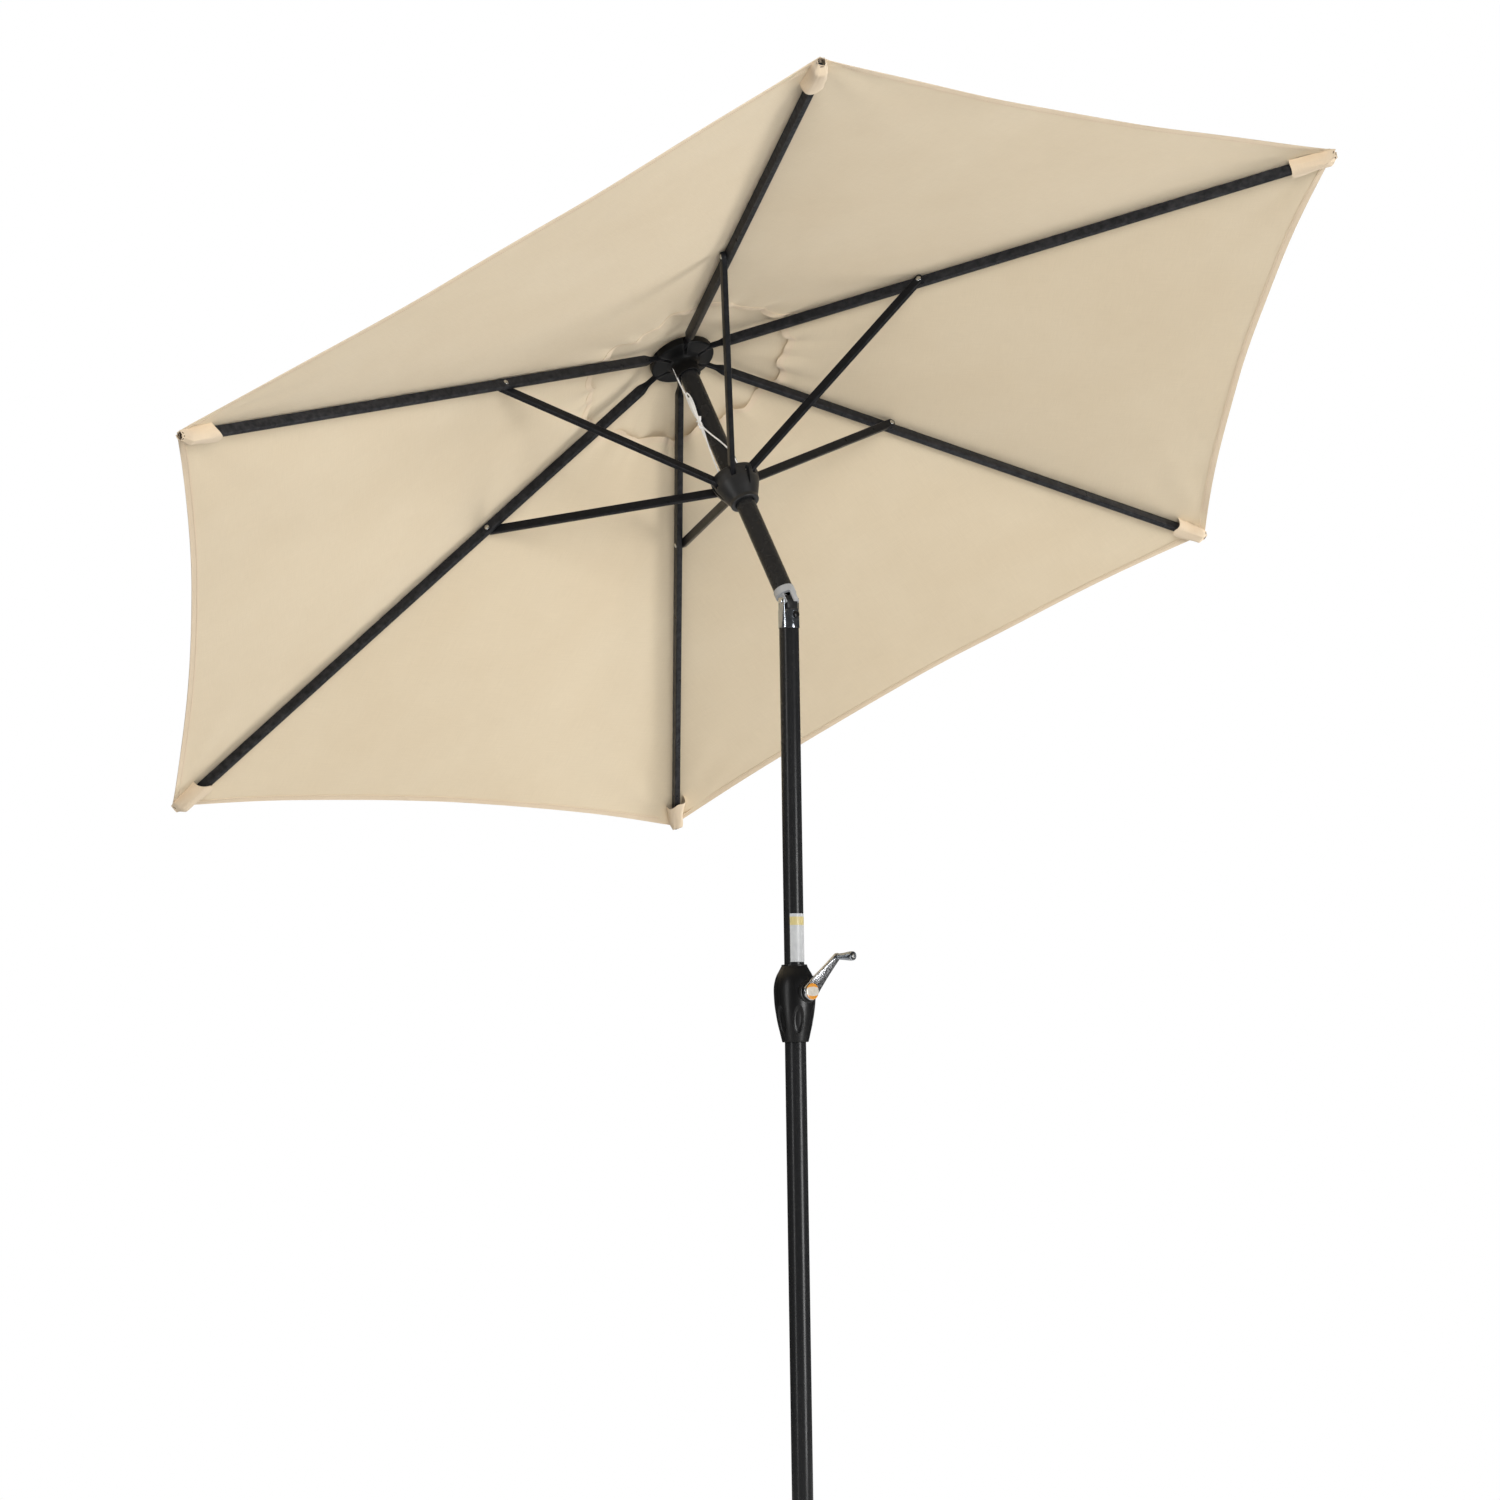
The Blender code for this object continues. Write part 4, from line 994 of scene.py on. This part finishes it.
def pocket(number):
    """The pocket sewn under a corner of the canopy, gathered to the tip, that the rib's end sits in."""
    at = turned_frame(HUB, polar(RIB_PIVOT_R, RIB_ANGLES[number - 1]), RIB_ANGLES[number - 1], RIB_DROOP)
    mouth, tip = TIP_ALONG - 0.082, TIP_ALONG - 0.004
    rows, columns = 34, 44
    phase = PHASES[number - 1]
    points, cut = [], []
    for r in range(rows + 1):
        t = r / rows
        gather = min(1.0, max(0.0, (t - 0.8) / 0.2))
        gather = gather * gather * (3 - 2 * gather)
        flare = (1 - t) ** 1.6
        half = 0.0118 + 0.0075 * flare - 0.005 * gather
        deep = 0.0258 + 0.001 * flare - 0.013 * gather
        for c in range(columns + 1):
            v = 2 * c / columns - 1
            a = v * pi / 2
            lobe = max(0.0, cos(a)) ** 0.6
            folds = 0.5 + 0.5 * sin(7.5 * v + 2.5 * t + phase[0])
            folds += 0.5 * (0.5 + 0.5 * sin(16 * v - 3 * t + phase[1])) * (0.3 + t)
            fold = 0.0019 * folds * (0.4 + 0.6 * t) * lobe
            x = mouth + 0.01 * v * (1 - t) + (tip - mouth) * t - 0.012 * (1 - t) * (1 - abs(v)) ** 2
            y = (half + fold * 0.7) * (1 if v > 0 else -1) * abs(sin(a)) ** 0.6
            y += 0.001 * sin(9 * t + phase[2]) * lobe
            z = 0.0118 - abs(v) ** 3 * (half - 0.004) * 0.16 - deep * lobe - fold
            points.append((x, y, z))
            cut.append((v * 0.036, x))
    made = piece(f"canopy_pocket_{number}", points, grid_faces(rows + 1, columns + 1), CANVAS_EDGE,
                 frame_at=at,
                 cut=cut, merge=0, angle=180.0)
    dress(thickened(made, 0.0009), f"rib_arm_{number}")
    knot = [(tip - 0.0035 + 0.0012 * sin(3 * a), 0.0074 * cos(a), 0.0036 + 0.0074 * sin(a))
            for a in [2 * pi * k / 28 for k in range(28)]]
    piece(f"canopy_tack_{number}", *swept(knot, 0.0011, 8, True), TACK, f"rib_arm_{number}", (), at)


def vent_cap():
    """The cap over the vent: a clamped middle disc, and six wedges that lift and close with the ribs."""
    columns, rings = 72, [(0.0078, 0.0168), (0.02, 0.0166), (0.04, 0.016), (0.0575, 0.0153)]
    points, cut = [], []
    for r, z in rings:
        for c in range(columns):
            p = polar(r, 2 * pi * c / columns, z + 0.0006 * (r > 0.03) * sin(12 * pi * c / columns))
            points.append(p)
            cut.append((p.x, p.y))
    disc = piece("cap_middle", points, grid_faces(len(rings), columns, True), CANVAS, frame_at=HUB, cut=cut,
                 merge=0,
                 angle=180.0)
    dress(thickened(disc, 0.0016), "upper_mast", ["vent_cap"])
    long = CAP_R * cos(FLAT) - 0.05
    for number in range(1, RIBS + 1):
        wedge = cloth_piece(f"cap_cloth_{number}", number, cloth_grid(cap_points, number, 16, 26),
                            stands_for=["vent_cap"])
        points, cut, faces = cloth_grid(cap_points, number, 24, 2, 1 - HEM / long, 1.0)
        grid = (lowered(points, CLOTH + 0.0001), cut, faces)
        hem = cloth_piece(f"cap_hem_{number}", number, grid, CANVAS_EDGE)
        edge = lap(f"cap_lap_{number}", number, cap_points, CAP_ROOT_R * FLAT, CAP_R / 2, 0.85)


# ---------------------------------------------------------------- lift cord
def tube_cord(name, line, node, *bodies):
    """A run of the lift cord in place of a CAD node, on one body; a run given two bodies is left in world
    space, on neither.
    """
    made = piece(name, *swept(line, CORD_R), CORD)
    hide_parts(node)
    if len(bodies) == 1:
        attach(made, *bodies)
    else:
        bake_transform(made)
    return made


def lift_cord():
    """From the spool up the poles, over the pulley, down to its knot, and the bridle down to the runner."""
    inside = smooth_line([(0, 0.013, CRANK_AT.z), (0, 0.0128, CRANK_AT.z + 0.02),
                          (-0.007, 0.0008, TILT_PIN.z - 0.05), (-0.0075, 0.0, TILT_PIN.z - 0.005)], 8)
    lower = tube_cord("cord_in_pole", inside, "lift_cord_lower", "lower_mast")

    centre, knot, exit_z = HUB_RISE - PULLEY_DROP, RUNNER_RISE + KNOT_RISE, HUB_RISE - 0.054
    route = [Vector((-0.0075, 0, 0.005)), Vector((-0.007, -0.0004, 0.03)),
             polar(0.004, CORD_SIDE, centre - 0.05)]
    for k in range(15):
        a = pi - pi * k / 14
        route.append(polar(PULLEY_OUT + GROOVE_R * cos(a), CORD_SIDE, centre + GROOVE_R * sin(a)))
    route.append(polar(CORD_OUT, CORD_SIDE, exit_z))
    above = [MAST @ p for p in route]
    top = tube_cord("cord_over_pulley", above, "lift_cord_upper", "upper_mast")

    steps = 24
    first, last = polar(CORD_OUT, CORD_SIDE, exit_z), polar(CORD_OUT, KNOT_SIDE, knot)
    run = [MAST @ first.lerp(last, k / steps) for k in range(steps + 1)]
    outer = tube_cord("cord_run", run, "lift_cord_upper", "upper_mast", "runner")

    foot = RUNNER_RISE + 0.0129
    left, right = KNOT_SIDE - radians(36), KNOT_SIDE + radians(90)
    loop = [(0.0236, 0.0, -0.004), (0.0242, 0.01, 0.012), (0.0254, -0.16, 0.032), (0.026, -0.235, 0.056),
            (0.026, -0.18, 0.076), (0.026, 0.0, 0.085), (0.026, 0.18, 0.076), (0.026, 0.235, 0.056),
            (0.0262, 0.13, 0.03), (0.0252, 0.1, 0.008), (0.0238, 0.16, -0.005)]
    legs = [(0.0232, left, foot), (0.0232, left, foot + 0.03), (0.0233, KNOT_SIDE - 0.28, knot - 0.04)]
    legs += [(r, KNOT_SIDE + a, knot + z) for r, a, z in loop]
    legs += [(0.0238, KNOT_SIDE + 0.56, knot - 0.028), (0.0238, KNOT_SIDE + 1.01, knot - 0.051),
             (0.0238, KNOT_SIDE + 1.43, knot - 0.075), (0.024, right, foot + 0.016), (0.024, right, foot)]
    bridle = smooth_line([MAST @ polar(r, a, z) for r, a, z in legs], 8)
    lower_run = tube_cord("cord_bridle", bridle, "lift_cord_bridle", "runner")

    def about(r, a, z):
        return MAST @ polar(r, KNOT_SIDE + a, knot + z)

    coil = [about(0.025 + 0.0022 * cos(a * 2), 0.13 * cos(a), 0.0 + 0.0042 * sin(a) + 0.0034 * a / pi)
            for a in [2 * pi * 2.5 * k / 60 for k in range(61)]]
    bight = smooth_line([about(0.025, -0.02, 0.01), about(0.0262, 0.03, 0.032), about(0.0262, -0.03, 0.052),
                         about(0.0262, 0.0, 0.072), about(0.0262, 0.06, 0.058), about(0.0268, 0.02, 0.036),
                         about(0.0264, 0.1, 0.016), about(0.0262, 0.3, 0.022)], 8)
    for name, line, radius in (("cord_knot", coil, 0.0019), ("cord_bight", bight, 0.0028)):
        piece(name, *swept(line, radius, 12), CORD, "runner")
    for k in range(5):
        bend = PHASES[k]
        strand = smooth_line([about(0.0254, 0.02 * k, 0.002),
                              about(0.0262, 0.05 * sin(bend[0]) - 0.06, -0.006),
                              about(0.0266, 0.16 * sin(bend[1]) - 0.04, -0.014 - 0.002 * k)], 6)
        piece(f"cord_fray_{k + 1}", *swept(strand, 0.0011, 8, taper=lambda t: 1 - 0.6 * t),
                           CORD,
                           "runner")


# ---------------------------------------------------------------- what stays, and the studio
def kept_nodes():
    for node, look in (("tilt_core", PLASTIC), ("tilt_spring", ZINC)):
        mesh = frame["nodes"][node].data
        mesh.materials.clear()
        mesh.materials.append(look)


def floor():
    look = Look("floor_pale", 0.85, specular=0.3)
    look.feed("Base Color", look.mixed(look.noise(1.6, 4.0), (0.78, 0.775, 0.765), (0.82, 0.815, 0.805)))
    look.bump(look.noise(90.0, 3.0), 0.0005, 0.3)
    radius, columns = 3.1, 128
    rings = [(0.0, 0.0), (radius - 0.05, 0.0), (radius, -0.02), (radius, -0.04), (0.0, -0.04)]
    points = [polar(r, 2 * pi * c / columns, z - 0.0002) for r, z in rings for c in range(columns)]
    piece("studio_floor", points, grid_faces(len(rings), columns, True), look.material)


def light(name, azimuth, elevation, distance, wide, tall, power, aim=(-0.2, 0, 1.9), gloss=False):
    """A white soft box: one kind is seen in shiny surfaces, and the other only lights."""
    lamp = bpy.data.lights.new(name, "AREA")
    lamp.shape, lamp.size, lamp.size_y, lamp.energy = "RECTANGLE", wide, tall, power
    obj = bpy.data.objects.new(name, lamp)
    a, e = radians(azimuth), radians(elevation)
    back = Vector((sin(a) * cos(e), -cos(a) * cos(e), sin(e)))
    obj.location = Vector(aim) + back * distance
    obj.rotation_mode = "QUATERNION"
    obj.rotation_quaternion = back.to_track_quat("Z", "Y")
    obj.visible_glossy = gloss
    obj.visible_diffuse = not gloss
    bpy.context.scene.collection.objects.link(obj)


def studio():
    scene = bpy.context.scene
    scene.view_settings.view_transform = "Standard"
    world = bpy.data.worlds.new("studio")
    world.use_nodes = True
    scene.world = world
    nodes, links = world.node_tree.nodes, world.node_tree.links

    def background(strength):
        made = nodes.new("ShaderNodeBackground")
        made.inputs["Color"].default_value = (1.0, 1.0, 1.0, 1.0)
        made.inputs["Strength"].default_value = strength
        return made

    def chosen(path, otherwise, where):
        """One shader for a kind of ray, and another for the rest."""
        made = nodes.new("ShaderNodeMixShader")
        links.new(rays.outputs[path], made.inputs[0])
        links.new(otherwise.outputs[0], made.inputs[1])
        links.new(where.outputs[0], made.inputs[2])
        return made

    rays = nodes.new("ShaderNodeLightPath")
    shown = chosen("Is Camera Ray", chosen("Is Glossy Ray", background(0.36), background(0.07)),
                   background(1.0))
    links.new(shown.outputs[0], nodes["World Output"].inputs["Surface"])
    light("top", 255, 52, 6.0, 3.0, 3.0, 120)
    light("front", 60, 8, 6.0, 3.0, 2.0, 216)
    light("far", 165, -2, 5.0, 2.5, 2.0, 194)
    light("strip", 100, 0, 5.0, 1.3, 2.5, 180, (0, 0, 0.75), True)
    light("sliver", 4, 0, 5.0, 0.26, 4.4, 70, (0, 0, 1.5), True)
    light("wash", 250, 40, 5.0, 2.2, 2.2, 60, gloss=True)


def camera():
    azimuth, climb, roll = radians(48.57), radians(4.24), radians(-0.86)
    lens = bpy.data.cameras.new("camera")
    lens.lens, lens.sensor_width, lens.clip_start, lens.clip_end = 115.48, 36.0, 0.1, 100.0
    obj = bpy.data.objects.new("camera", lens)
    turn = Matrix.Rotation(azimuth, 4, "Z") @ Matrix.Rotation(pi / 2 + climb, 4,
                                                              "X") @ Matrix.Rotation(roll, 4, "Z")
    obj.matrix_world = Matrix.Translation((6.812, -6.116, 1.037)) @ turn
    bpy.context.scene.collection.objects.link(obj)
    bpy.context.scene.camera = obj


camera()
lift_cord()
base()
poles()
crank_housing()
crank()
tilt_joint()
hub()
runner()
pulley()
for index, heading in enumerate(RIB_ANGLES):
    rib(index + 1, heading)
    strut(index + 1, heading)
    canopy(index + 1)
vent_cap()
kept_nodes()
floor()
studio()
